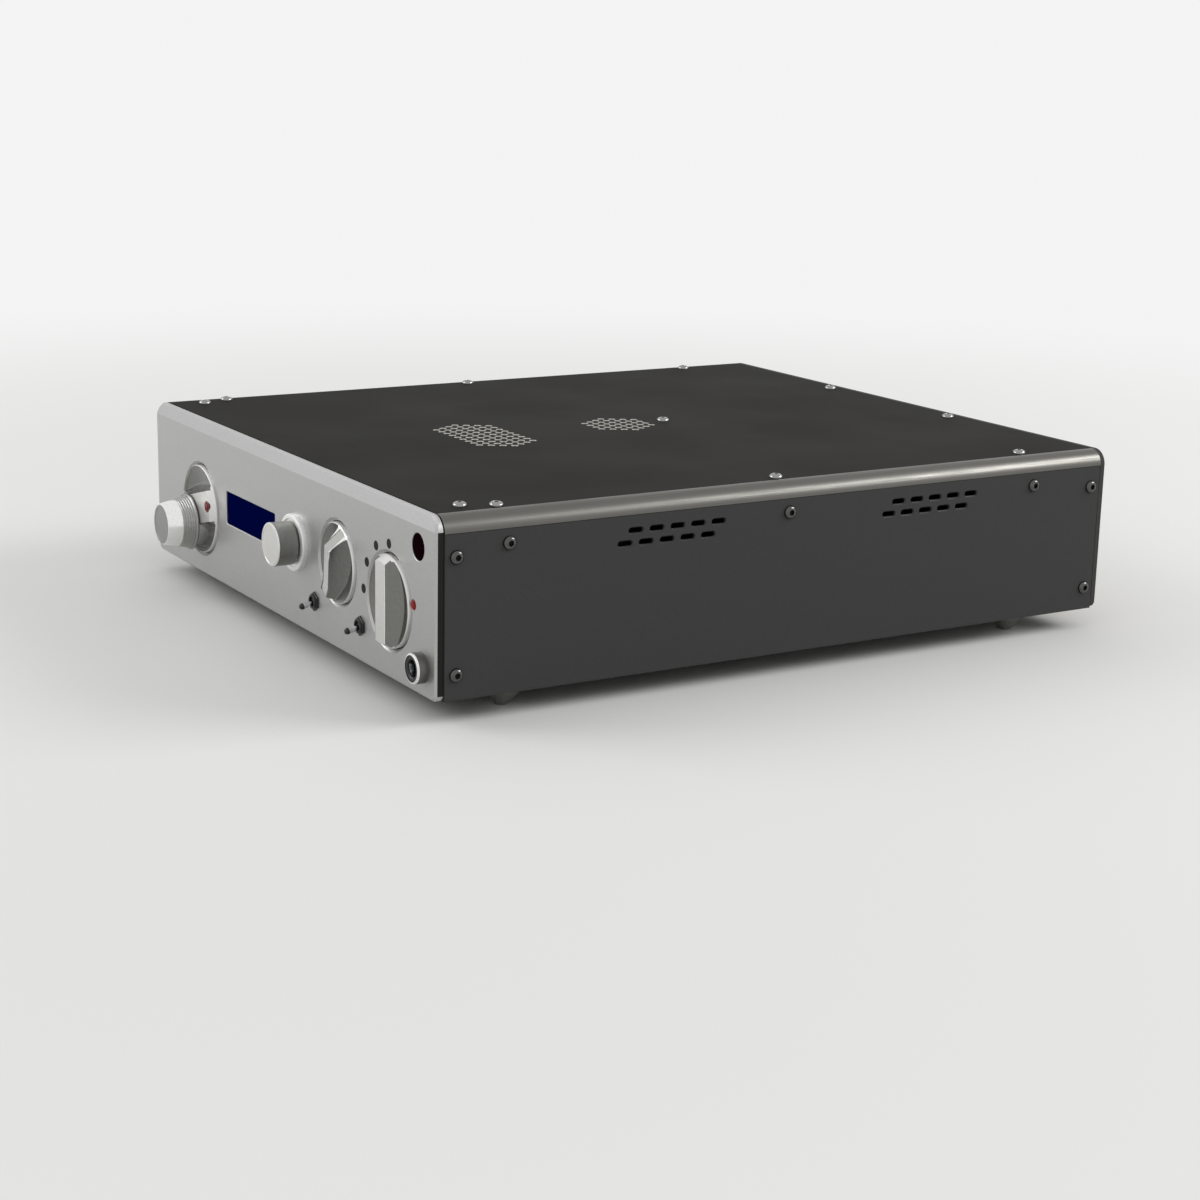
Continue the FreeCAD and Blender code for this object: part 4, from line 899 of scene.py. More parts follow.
class PREAMP_OT_feet(PreampOperator):
    """Turned cone feet with a collar, a groove and a rounded tip."""

    bl_idname = "preamp.feet"
    bl_label = "Feet"

    def build(self, sizes):
        for node in ("front_left_foot", "front_right_foot", "rear_left_foot", "rear_right_foot"):
            low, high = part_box(node)
            centre = (low + high) / 2.0
            height = high.z - low.z
            r, tip = (high.y - low.y) / 2.0, 2.6 * MM
            collar = 2.0 * MM
            place = Matrix.Translation((centre.x, centre.y, low.z))
            profile = [(0.0, 0.0), (tip - 0.4 * MM, 0.0), (tip, 0.25 * MM),
                       (r - 0.3 * MM, height - collar - 0.25 * MM), (r, height - collar),
                       (r, height - 1.3 * MM), (r - 0.3 * MM, height - 1.1 * MM), (r, height - 0.9 * MM),
                       (r, height - 0.15 * MM), (r - 0.15 * MM, height), (0.0, height)]
            turned_piece(node + "_turned", place, profile, ["foot"], "case", [node], FOOT_SIDES)


# Dials

def arc_through(a, b, c):
    """Centre and radius of the circle through three (x, y) points."""
    d = 2.0 * (a[0] * (b[1] - c[1]) + b[0] * (c[1] - a[1]) + c[0] * (a[1] - b[1]))
    squares = [p[0] ** 2 + p[1] ** 2 for p in (a, b, c)]
    x = (squares[0] * (b[1] - c[1]) + squares[1] * (c[1] - a[1]) + squares[2] * (a[1] - b[1])) / d
    y = (squares[0] * (c[0] - b[0]) + squares[1] * (a[0] - c[0]) + squares[2] * (b[0] - a[0])) / d
    return x, y, math.hypot(a[0] - x, a[1] - y)


class DialForm:
    """Heights over a dial disc: a bar along local Y with a concave hollow each side."""

    rim = 0.7 * MM
    rim_height = 0.4 * MM
    end_bevel = 2.2 * MM
    bar_edge = 0.35 * MM
    # The trough's depth beside that of the dish
    trough_share = 0.85
    # Width and share of the soft fold where trough and dish meet
    fold = 0.12 * MM
    fold_share = 0.35

    def __init__(self, radius, bar_width, ridge):
        self.radius = radius
        self.half = bar_width / 2.0
        self.ridge = ridge
        self.bar_height = max(height for _, height in ridge)
        self.inner = radius - self.rim
        low = ((self.half + radius) / 2.0, -DISH_DEPTH * self.trough_share)
        self.trough_arc = arc_through((self.half, self.bar_height), low, (radius + 1.0 * MM, 0.0))

    def ridge_height(self, y):
        if y <= self.ridge[0][0]:
            return self.ridge[0][1]
        for (y0, h0), (y1, h1) in zip(self.ridge, self.ridge[1:]):
            if y <= y1:
                return h0 + (h1 - h0) * (y - y0) / (y1 - y0)
        return self.ridge[-1][1]

    def crown(self, x, y):
        slope = (self.bar_height - self.rim_height) / self.end_bevel
        return min(self.ridge_height(y), self.rim_height + (self.radius - math.hypot(x, y)) * slope)

    def bowl(self, r):
        return -DISH_DEPTH * (1.0 - (r / self.inner) ** 2)

    def trough(self, x):
        cx, cy, r = self.trough_arc
        return cy - math.sqrt(max(0.0, r * r - (abs(x) - cx) ** 2))

    def hollow(self, x, y):
        r = math.hypot(x, y)
        a, b = self.bowl(r), self.trough(x)
        top = max(a, b) + self.fold * math.exp(-abs(a - b) / self.fold) * self.fold_share
        return min(self.crown(x, y), top)


def grid_faces(bm, rows, material):
    for low, high in zip(rows, rows[1:]):
        for a, b, c, d in zip(low, low[1:], high[1:], high):
            corners = list(dict.fromkeys((a, b, c, d)))
            if len(corners) > 2:
                bm.faces.new(corners).material_index = material


def dial_hollow(bm, place, form, side):
    """One hollow as a grid from the bar's edge out to the rim."""
    across, along, crowding = 30, 60, 1.7
    end = math.sqrt(form.inner ** 2 - form.half ** 2)
    rows = []
    for j in range(along + 1):
        y = -end * math.cos(math.pi * j / along)
        rim_x = math.sqrt(max(form.inner ** 2 - y * y, form.half ** 2))
        row = []
        for i in range(across + 1):
            x = form.half + (rim_x - form.half) * (i / across) ** crowding
            z = form.hollow(x, y) if i else form.crown(x, y) - form.bar_edge
            row.append(bm.verts.new(place @ Vector((side * x, y, z))))
        rows.append(row)
    grid_faces(bm, rows, 0)


def dial_bar(bm, place, form):
    """The bar's top, with a fine broken edge along it and a slope at each end."""
    h, e = form.half, form.bar_edge
    columns = [-h, -h + e] + [(-h + e) + (2 * h - 2 * e) * i / 8 for i in range(1, 8)] + [h - e, h]
    rows = []
    for x in columns:
        end = math.sqrt(form.inner ** 2 - x * x)
        bevel = math.sqrt((form.radius - form.end_bevel) ** 2 - x * x)
        row = []
        breaks = [spot for spot, _ in form.ridge if abs(spot) < bevel]
        for y in sorted([-end, -bevel, -bevel * 0.5, bevel * 0.5, bevel, end] + breaks):
            z = form.crown(x, y) - (e if abs(x) == h else 0.0)
            row.append(bm.verts.new(place @ Vector((x, y, z))))
        rows.append(row)
    # The strips along the bar's edges take the bright finish, a painted highlight
    grid_faces(bm, rows[:2], 2)
    grid_faces(bm, rows[1:-1], 1)
    grid_faces(bm, rows[-2:], 2)
    if len(form.ridge) > 1:
        # The long slope takes a darker finish than the rest of the bar, as painted shade
        start, back = form.ridge[-2][0], place.inverted()
        for face in bm.faces:
            if face.material_index == 1 and (back @ face.calc_center_median()).y > start:
                face.material_index = 3


def dial_rim(bm, place, form):
    """Thin ridge round the disc, with the disc's side and back."""
    sides = 2 * TURNED_SIDES
    # Circles of the ridge, as (radius, least height)
    levels = ((form.inner - 0.04 * MM, 0.0), (form.inner + 0.32 * MM, 0.95 * MM),
              (form.radius - 0.05 * MM, 0.45 * MM), (form.radius, 0.35 * MM))
    loops = []
    for r, least in levels:
        loop = []
        for x, y in circle(0, 0, r, sides):
            if abs(x) < form.half:
                z = form.crown(x, y)
            else:
                z = min(form.crown(x, y), max(form.trough(x), least))
            loop.append(bm.verts.new(place @ Vector((x, y, z))))
        loops.append(loop)
    loops.append(loop_at(bm, place, circle(0, 0, form.radius, sides), -DISC_BACK))
    loops.append([bm.verts.new(place @ Vector((0, 0, -DISC_BACK)))])
    bridge_all(bm, loops, 1)


class PREAMP_OT_dials(PreampOperator):
    """Dished dials: a raised bar between two buffed hollows."""

    bl_idname = "preamp.dials"
    bl_label = "Dials"

    def build(self, sizes):
        for node, (width, angle, ridge) in DIALS.items():
            form = DialForm(radius_of(node), width, ridge)
            height = form.bar_height
            place = front_of(node) @ Matrix.Rotation(math.radians(angle - 90.0), 4, "Z")
            bm = bmesh.new()
            dial_hollow(bm, place, form, 1)
            dial_hollow(bm, place, form, -1)
            dial_bar(bm, place, form)
            dial_rim(bm, place, form)
            turn_profile(bm, place, [(0.0, -DISC_BACK), (HUB_RADIUS, -DISC_BACK),
                                     (HUB_RADIUS, -DISC_BACK - HUB_LENGTH), (0.0, -DISC_BACK - HUB_LENGTH)],
                         SMALL_SIDES)
            if node == "volume_disc":
                boss_radius = form.radius - math.hypot(*FINGER_AXIS)
                boss = place @ Matrix.Translation((*FINGER_AXIS, 0.0))
                turn_profile(bm, boss, [(boss_radius, -DISH_DEPTH), (boss_radius, height - 0.1 * MM, 1),
                                        (boss_radius - 0.1 * MM, height, 1), (0.0, height, 1)])
            finish_piece(node + "_polished", bm, ["polished", "satin", "bright", "painted_shade_slope"], DIAL_BODIES[node],
                         [node])


# Knobs

def groove_rows(r0, h0, r1, h1, count, depth):
    """Shallow grooves along a straight run of a turned profile."""
    rows = []
    for i in range(count):
        for part, drop in ((0.0, 0.0), (0.55, 0.0), (0.7, depth), (0.85, depth)):
            t = (i + part) / count
            rows.append((r0 + (r1 - r0) * t - drop, h0 + (h1 - h0) * t))
    return rows


class PREAMP_OT_knobs(PreampOperator):
    """Finger knob of the volume dial, and the balance knob with its collar."""

    bl_idname = "preamp.knobs"
    bl_label = "Knobs"

    def build(self, sizes):
        low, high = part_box("volume_finger_knob")
        length = high.y - low.y
        rear, front = radius_of("volume_finger_knob"), 9.1 * MM
        middle = length * 0.5
        middle_r = rear - 0.6 * MM + (front - rear + 0.6 * MM) * 0.5
        profile = [(0.0, 0.0), (rear - 0.3 * MM, 0.0), (rear, 0.3 * MM), (rear, 0.7 * MM),
                   (rear - 0.2 * MM, 1.0 * MM), (rear - 0.7 * MM, 1.3 * MM)]
        profile += [(*point, 2) for point in groove_rows(rear - 0.7 * MM, 1.5 * MM, middle_r, middle, 5, 0.16 * MM)]
        # The front band takes the bright finish, a painted highlight
        profile += [(middle_r, middle + 0.1 * MM, 1), (front + 0.1 * MM, length - 0.5 * MM, 1),
                    (front - 0.15 * MM, length - 0.15 * MM, 1), (front - 0.5 * MM, length, 1),
                    (front - 1.4 * MM, length), (front - 1.5 * MM, length - 0.12 * MM),
                    (front * 0.5, length - 0.12 * MM), (0.0, length - 0.12 * MM)]
        turned_piece("volume_finger_turned", box_place(low, high), profile, ["finger", "bright", "grip"],
                     "volume_finger", ["volume_finger_knob"], FINGER_SIDES)

        low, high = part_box("balance_knob")
        length = high.y - low.y
        r = 9.0 * MM
        profile = [(0.0, 0.0), (r - 0.4 * MM, 0.0), (r - 0.1 * MM, 0.3 * MM)]
        profile += [(*point, 1) for point in groove_rows(r - 0.1 * MM, 0.8 * MM, r - 0.1 * MM, length - 1.2 * MM,
                                                         9, 0.1 * MM)]
        profile += [(r, length - 1.0 * MM, 1), (r, length - 0.4 * MM, 1), (r - 0.12 * MM, length - 0.12 * MM),
                    (r - 0.4 * MM, length), (r - 1.1 * MM, length), (r - 1.2 * MM, length - 0.1 * MM),
                    (0.0, length - 0.1 * MM)]
        turned_piece("balance_knob_turned", box_place(low, high), profile, ["balance", "dark_grip"], "balance",
                     ["balance_knob"])

        low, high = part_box("balance_collar")
        h, r, bore = high.y - low.y, 11.8 * MM, 6.0 * MM
        profile = [(bore, 0.0), (r, 0.0), (r, h - 0.7 * MM), (r - 0.2 * MM, h - 0.2 * MM), (r - 0.7 * MM, h),
                   (9.9 * MM, h), (9.7 * MM, h - 0.5 * MM), (bore, h - 0.5 * MM)]
        # The collar takes the nearly white finish, as painted light
        turned_piece("balance_collar_turned", front_of("balance_collar"), profile, ["painted_light"], "case",
                     ["balance_collar"], closed=True)


# Front details

class PREAMP_OT_lamps(PreampOperator):
    """Small domed red lamps on the volume dial and beside the mode selector."""

    bl_idname = "preamp.lamps"
    bl_label = "Lamps"

    def build(self, sizes):
        r = LAMP_RADIUS
        for node, body, material in (("volume_lamp", "volume_dial", "dim_lamp"), ("power_lamp", "case", "lamp")):
            low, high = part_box(node)
            depth = high.y - low.y
            profile = [(0.0, 0.0), (r, 0.0), (r, depth - 0.5 * MM), (r * 0.94, depth - 0.28 * MM),
                       (r * 0.8, depth - 0.12 * MM), (r * 0.5, depth - 0.03 * MM), (0.0, depth)]
            turned_piece(node + "_lens", box_place(low, high), profile, [material], body, [node],
                         LAMP_SIDES)
        # A thin ring sits on the dial's bar, half a millimetre below the lamp's top
        low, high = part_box("volume_lamp")
        centre = (low + high) / 2.0
        place = front_place(centre.x, centre.z, FRONT_Y - low.y - 0.5 * MM)
        profile = [(r + 0.05 * MM, -0.6 * MM), (r + 0.6 * MM, -0.6 * MM), (r + 0.6 * MM, 0.1 * MM),
                   (r + 0.45 * MM, 0.2 * MM), (r + 0.1 * MM, 0.2 * MM)]
        turned_piece("volume_lamp_seat", place, profile, ["seat"], "volume_dial", (), SMALL_SIDES, True)


class PREAMP_OT_windows(PreampOperator):
    """Display window and receiver window, set in the front plate."""

    bl_idname = "preamp.windows"
    bl_label = "Windows"

    def build(self, sizes):
        low, high = display_box()
        place = front_place(0.0, 0.0)
        recess, back = 0.6 * MM, 3.0 * MM

        def pane(e):
            return rounded_rectangle(low.x + e, high.x - e, low.z + e, high.z - e, 0.5 * MM, 0.5 * MM, 4)

        bm = bmesh.new()
        layered_plate(bm, place, [[(pane(0.15 * MM), -recess), (pane(0.05 * MM), -recess - 0.1 * MM),
                                   (pane(0.05 * MM), -back)]])
        finish_piece("display_pane", bm, ["display"], "case", ["display_window"])
        r = 5.0 * MM
        profile = [(0.0, -4.2 * MM), (6.5 * MM, -4.2 * MM), (6.5 * MM, -3.0 * MM), (r, -3.0 * MM), (r, -0.6 * MM),
                   (r - 0.1 * MM, -0.45 * MM), (r * 0.7, -0.35 * MM), (0.0, -0.3 * MM)]
        turned_piece("receiver_pane", front_of("receiver_window"), profile, ["receiver"], "case",
                     ["receiver_window"])
        for node in ("display_module", "receiver_module"):
            paint_node(node, "black")


class PREAMP_OT_toggles(PreampOperator):
    """Toggle switches: threaded bush and dress nut, with a bright lever that has a black tip."""

    bl_idname = "preamp.toggles"
    bl_label = "Toggles"

    def build(self, sizes):
        tilt = Matrix.Rotation(math.radians(TOGGLE_TILT), 4, "X")
        for side in ("left", "right"):
            low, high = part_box(side + "_toggle_body")
            centre = (low + high) / 2.0
            place = front_place(centre.x, centre.z)
            bm = bmesh.new()
            bush, bore, height, depth = 3.0 * MM, 2.1 * MM, 1.6 * MM, 3.8 * MM
            profile = [(bore, -depth), (bush, -depth), (bush, -0.1 * MM)]
            for i in range(3):
                profile += [(bush - 0.18 * MM, 0.15 * MM + 0.45 * MM * i), (bush, 0.35 * MM + 0.45 * MM * i)]
            profile += [(bush - 0.25 * MM, height), (bore + 0.15 * MM, height), (bore, height - 0.15 * MM)]
            turn_profile(bm, place, profile, SMALL_SIDES, True)
            open_cap(bm, place, [(hexagon(4.0 * MM), 0.0), (hexagon(4.0 * MM), 0.6 * MM),
                                 (hexagon(3.75 * MM), 0.8 * MM)])
            box_low, box_high = -(centre.z - low.z), high.z - centre.z
            half = (high.x - low.x) / 2.0
            case = [(-half, box_low), (half, box_low), (half, box_high), (-half, box_high)]
            layered_plate(bm, place, [[(case, -3.0 * MM), (case, -12.0 * MM)]])
            finish_piece(side + "_toggle_bush", bm, ["black"], "case", [side + "_toggle_body"])
            pivot = place @ Matrix.Translation((0.0, 0.0, -1.6 * MM)) @ tilt
            lever = [(0.0, -1.6 * MM, 0), (1.1 * MM, -1.1 * MM, 0), (1.6 * MM, 0.0, 0), (1.1 * MM, 1.1 * MM, 0),
                     (0.85 * MM, 1.9 * MM, 0), (1.0 * MM, 4.2 * MM, 0), (1.25 * MM, 6.3 * MM, 0),
                     (1.3 * MM, 6.9 * MM, 0), (1.3 * MM, 7.2 * MM, 1), (1.2 * MM, 7.9 * MM, 1),
                     (0.8 * MM, 8.4 * MM, 1), (0.0, 8.6 * MM, 1)]
            turned_piece(side + "_toggle_bat", pivot, lever, ["chrome", "black"], side + "_toggle",
                         [side + "_toggle_lever"], SMALL_SIDES)


class PREAMP_OT_headphone_socket(PreampOperator):
    """Headphone socket: a collar with a grey side as painted shade and a nearly white lip as painted light, round a
    black mouth and its sleeve.
    """

    bl_idname = "preamp.headphone_socket"
    bl_label = "Headphone Socket"

    def build(self, sizes):
        h, r, bore = FRONT_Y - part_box("headphone_collar")[0].y, 5.9 * MM, 3.25 * MM
        # The collar's side takes the darker rail finish as painted shade, its lip the nearly white finish as painted
        # light
        profile = [(bore, -3.0 * MM, 2), (4.6 * MM, -3.0 * MM, 1), (4.6 * MM, 0.0, 3), (r, 0.0, 3),
                   (r, h - 0.7 * MM, 3), (r - 0.2 * MM, h - 0.2 * MM, 0), (r - 0.7 * MM, h, 0),
                   (r - 0.85 * MM, h, 0), (r - 0.95 * MM, h - 0.25 * MM, 1), (bore + 0.5 * MM, h - 0.25 * MM, 1),
                   (bore + 0.1 * MM, h - 0.6 * MM, 1), (bore, h - 1.0 * MM, 1)]
        turned_piece("headphone_collar_turned", front_of("headphone_collar"), profile,
                     ["painted_light", "black", "chrome", "rail"], "case", ["headphone_collar"],
                     closed=True)
        paint_node("headphone_jack", "black")


class PREAMP_OT_marks(PreampOperator):
    """Printed position marks round the mode selector."""

    bl_idname = "preamp.marks"
    bl_label = "Marks"

    def build(self, sizes):
        centre = centre_of("mode_selector_disc")
        bm = bmesh.new()
        for angle in MARK_ANGLES:
            a = math.radians(angle)
            place = front_place(centre.x + MARK_RADIUS * math.cos(a), centre.z + MARK_RADIUS * math.sin(a))
            turn_profile(bm, place, [(MARK_SIZE, -0.02 * MM), (MARK_SIZE, 0.03 * MM), (0.0, 0.03 * MM)], 32)
        finish_piece("position_marks", bm, ["ink_and_shade"], "case", ())


# Rear sockets

def phono_places():
    """Centres of the phono sockets: two rows of evenly spaced columns."""
    low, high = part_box("phono_sockets")
    nut = 6.0 * MM
    nut_corner = nut / math.cos(math.radians(30.0))
    xs = [low.x + nut + i * (high.x - low.x - 2 * nut) / 3.0 for i in range(4)]
    return [(x, z) for z in (low.z + nut_corner, high.z - nut_corner) for x in xs]


def balanced_places():
    low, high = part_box("balanced_sockets")
    half = 13.0 * MM
    return low.x + half, high.x - half


class PREAMP_OT_phono_sockets(PreampOperator):
    """Gold plated phono sockets with coloured insulating rings."""

    bl_idname = "preamp.phono_sockets"
    bl_label = "Phono Sockets"

    def build(self, sizes):
        bm = bmesh.new()
        for x, z in phono_places():
            colour = 1 if z > centre_of("phono_sockets").z else 2
            place = rear_place(x, z)
            flange, barrel, r = 1.6 * MM, 9.0 * MM, 4.15 * MM
            open_cap(bm, place, [(hexagon(6.6 * MM), 0.0), (hexagon(6.6 * MM), flange - 0.3 * MM),
                                 (hexagon(6.2 * MM), flange)])
            top = flange + barrel
            profile = [(4.9 * MM, -12.0 * MM, 3), (4.9 * MM, 0.0, 3), (4.9 * MM, flange + 0.4 * MM, colour),
                       (r + 0.1 * MM, flange + 0.5 * MM, colour), (r, flange + 0.6 * MM, 0),
                       (r, top - 0.5 * MM, 0), (r - 0.2 * MM, top - 0.1 * MM, 0), (r - 0.5 * MM, top, 0),
                       (r - 0.8 * MM, top, 0), (r - 0.9 * MM, top - 0.3 * MM, colour),
                       (1.9 * MM, top - 0.3 * MM, colour), (1.75 * MM, top - 0.5 * MM, 0),
                       (1.75 * MM, flange, 0), (0.0, flange, 0)]
            turn_profile(bm, place, profile, SMALL_SIDES)
        finish_piece("phono_sockets_gilt", bm, ["gilt", "white", "red", "black"], "case", ["phono_sockets"])


class PREAMP_OT_balanced_sockets(PreampOperator):
    """Round three-pole sockets in screwed flanges."""

    bl_idname = "preamp.balanced_sockets"
    bl_label = "Balanced Sockets"

    def build(self, sizes):
        bm = bmesh.new()
        low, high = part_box("balanced_sockets")
        z = (low.z + high.z) / 2.0
        width, height, flange = 26.0 * MM, high.z - low.z, 2.0 * MM
        for x in balanced_places():
            place = rear_place(x, z)

            def outline(inset):
                return centred_rectangle(width / 2.0 - inset, height / 2.0 - inset, 3.0 * MM, 3.0 * MM, 8)

            groove, core, floor = 9.5 * MM, 8.0 * MM, 9.0 * MM
            layered_plate(bm, place, [
                [(outline(0.3 * MM), flange), (outline(0.0), flange - 0.3 * MM), (outline(0.0), 0.0)],
                [(circle(0, 0, groove + 0.3 * MM), flange), (circle(0, 0, groove), flange - 0.3 * MM),
                 (circle(0, 0, groove), 0.0)]])
            wall = [(groove, 0.0, 0), (groove, -floor, 1), (core, -floor, 1), (core, flange - 0.5 * MM, 1),
                    (core - 0.4 * MM, flange - 0.1 * MM, 1)]
            turn_profile(bm, place, wall, TURNED_SIDES)
            face = [[(circle(0, 0, core - 0.4 * MM, TURNED_SIDES), flange - 0.1 * MM)]]
            for angle in (30.0, 150.0, 270.0):
                px = 4.2 * MM * math.cos(math.radians(angle))
                pz = 4.2 * MM * math.sin(math.radians(angle))
                face.append([(circle(px, pz, 1.3 * MM, 24), flange - 0.1 * MM),
                             (circle(px, pz, 1.2 * MM, 24), -6.0 * MM)])
            loops = [stacked_loops(bm, place, layers) for layers in face]
            fill_flat(bm, [layers[0] for layers in loops], 1)
            for layers in loops[1:]:
                bridge(bm, layers[0], layers[1], 1)
                fill_flat(bm, [layers[1]], 1)
            shell = [(11.6 * MM, 0.0, 0), (11.6 * MM, -20.5 * MM, 0), (0.0, -20.5 * MM, 0)]
            turn_profile(bm, place, shell, TURNED_SIDES)
            for sx, sy in ((1, 1), (-1, -1)):
                at = place @ Matrix.Translation((sx * 9.6 * MM, sy * 12.2 * MM, flange))
                turn_profile(bm, at, [(1.9 * MM, -0.1 * MM, 2), (1.9 * MM, 0.25 * MM, 2), (1.2 * MM, 0.7 * MM, 2),
                                      (0.5 * MM, 0.8 * MM, 2), (0.45 * MM, 0.35 * MM, 2), (0.0, 0.35 * MM, 2)], 24)
        finish_piece("balanced_sockets_dressed", bm, ["plated", "black", "screw"], "case", ["balanced_sockets"])


class PREAMP_OT_mains_inlet(PreampOperator):
    """Mains inlet: a moulded flange, a chamfered well and three blades."""

    bl_idname = "preamp.mains_inlet"
    bl_label = "Mains Inlet"

    def build(self, sizes):
        low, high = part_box("mains_inlet")
        centre = (low + high) / 2.0
        place = rear_place(centre.x, centre.z)
        flange, well, wall = 2.0 * MM, 14.4 * MM, 1.7 * MM
        half_w, half_h = (high.x - low.x) / 2.0, (high.z - low.z) / 2.0

        def outline(inset):
            return centred_rectangle(half_w - inset, half_h - inset, 3.0 * MM, 3.0 * MM, 8)

        def mouth(grow):
            return centred_rectangle(12.2 * MM + grow, 8.1 * MM + grow, 0.8 * MM, 3.2 * MM, 8)

        bm = bmesh.new()
        top = [[(outline(0.4 * MM), flange), (outline(0.0), flange - 0.4 * MM), (outline(0.0), 0.0)],
               [(mouth(0.3 * MM), flange), (mouth(0.0), flange - 0.3 * MM), (mouth(0.0), -well)]]
        loops = [stacked_loops(bm, place, layers) for layers in top]
        for layers in loops:
            bridge_all(bm, layers)
        fill_flat(bm, [layers[0] for layers in loops])
        fill_flat(bm, [loops[1][2]])
        outer = stacked_loops(bm, place, [(mouth(wall), 0.0), (mouth(wall), -well - wall)])
        bridge_all(bm, outer)
        fill_flat(bm, [outer[1]])
        fill_flat(bm, [loops[0][2], outer[0]])
        finish_piece("mains_inlet_moulded", bm, ["black"], "case", ["mains_inlet"])
        bm = bmesh.new()
        for dx, dz in ((-7.0, -2.0), (7.0, -2.0), (0.0, 2.0)):
            at = place @ Matrix.Translation((dx * MM, dz * MM, 0.0))

            def blade(inset):
                return centred_rectangle(1.0 * MM - inset, 2.0 * MM - inset, 0.15 * MM, 0.15 * MM, 2)

            layered_plate(bm, at, [[(blade(0.3 * MM), -0.4 * MM), (blade(0.0), -1.2 * MM), (blade(0.0), -well)]])
        finish_piece("inlet_blades_plated", bm, ["plated"], "case", ["inlet_blades"])


class PREAMP_OT_earth_terminal(PreampOperator):
    """Earth terminal: a knurled nut on a threaded stud."""

    bl_idname = "preamp.earth_terminal"
    bl_label = "Earth Terminal"

    def build(self, sizes):
        centre = centre_of("earth_terminal")
        place = rear_place(centre.x, centre.z)
        bm = bmesh.new()
        nut, height, teeth = 4.5 * MM, 3.5 * MM, 36
        loops = []
        for scale, h in ((1.0, 0.2 * MM), (1.0, height - 0.5 * MM), (0.9, height)):
            points = []
            for i in range(2 * teeth):
                a = math.pi * i / teeth
                r = (nut - (0.22 * MM if i % 2 else 0.0)) * scale
                points.append((r * math.cos(a), r * math.sin(a)))
            loops.append(loop_at(bm, place, points, h))
        bridge_all(bm, loops)
        fill_flat(bm, [loops[0]])
        fill_flat(bm, [loops[-1]])
        stud = [(2.0 * MM, -5.0 * MM)]
        for i in range(8):
            stud += [(2.0 * MM, height + 0.5 * MM * i), (1.8 * MM, height + 0.25 * MM + 0.5 * MM * i)]
        stud += [(1.8 * MM, 7.7 * MM), (1.5 * MM, 8.0 * MM), (0.0, 8.0 * MM)]
        turn_profile(bm, place, stud, SMALL_SIDES)
        finish_piece("earth_terminal_knurled", bm, ["gilt"], "case", ["earth_terminal"])


# Inside

INSIDE_FINISHES = {
    "plated": ("front_chassis", "front_pillars", "volume_shaft", "balance_shaft", "input_selector_shaft",
               "mode_selector_shaft", "volume_control", "balance_control", "input_switch", "mode_switch",
               "board_standoffs", "transformer_clamp"),
    "cover": ("bottom_tray", "heatsink"),
    "board": ("main_board", "input_board"),
    "ceramic": ("tube_sockets",),
    "bulb": ("left_tube", "right_tube", "rear_tube"),
    "sleeve": ("capacitors",),
    "tape": ("transformer",),
}


class PREAMP_OT_inside(PreampOperator):
    """Finishes of the tray, chassis, controls and electronics."""

    bl_idname = "preamp.inside"
    bl_label = "Inside"

    def build(self, sizes):
        for material, nodes in INSIDE_FINISHES.items():
            for node in nodes:
                paint_node(node, material)


# Stage

def soft_light(name, place, target, size, power):
    data = bpy.data.lights.new(name, "AREA")
    data.shape = "RECTANGLE"
    data.size, data.size_y = size
    data.energy = power
    lamp = bpy.data.objects.new(name, data)
    bpy.context.collection.objects.link(lamp)
    lamp.location = place
    lamp.rotation_euler = (Vector(target) - Vector(place)).to_track_quat("-Z", "Y").to_euler()


def seen_ray(tree):
    """One where a ray comes from the camera, a reflection or glass, and nought elsewhere."""
    ray = add_node(tree, "ShaderNodeLightPath")
    mirrored = add_node(tree, "ShaderNodeMath", {"operation": "MAXIMUM"}, {
        0: ray.outputs["Is Glossy Ray"], 1: ray.outputs["Is Transmission Ray"]})
    seen = add_node(tree, "ShaderNodeMath", {"operation": "MAXIMUM"}, {
        0: ray.outputs["Is Camera Ray"], 1: mirrored.outputs["Value"]})
    return seen.outputs["Value"]


def pale_floor():
    """Pale matt floor that keeps the shadow and fades into the backdrop with distance."""
    material, tree, shader = new_material("Pale matt floor", hex_colour("#dededc"), 0.0, 0.9)
    place = add_node(tree, "ShaderNodeTexCoord")
    reach = add_node(tree, "ShaderNodeVectorMath", {"operation": "LENGTH"}, {0: place.outputs["Object"]})
    fade = add_node(tree, "ShaderNodeMapRange", {"interpolation_type": "SMOOTHSTEP"}, {
        "Value": reach.outputs["Value"], "From Min": FLOOR_FADE[0], "From Max": FLOOR_FADE[1],
        "To Min": 0.0, "To Max": 1.0})
    factor = add_node(tree, "ShaderNodeMath", {"operation": "MULTIPLY"}, {
        0: fade.outputs["Result"], 1: seen_ray(tree)})
    backdrop = add_node(tree, "ShaderNodeEmission", None, {"Color": (1.0, 1.0, 1.0, 1.0), "Strength": BACKDROP})
    mixed = add_node(tree, "ShaderNodeMixShader", None, {
        0: factor.outputs["Value"], 1: shader.outputs["BSDF"], 2: backdrop.outputs["Emission"]})
    tree.links.new(mixed.outputs["Shader"], tree.get_output_node("ALL").inputs["Surface"])
    return material


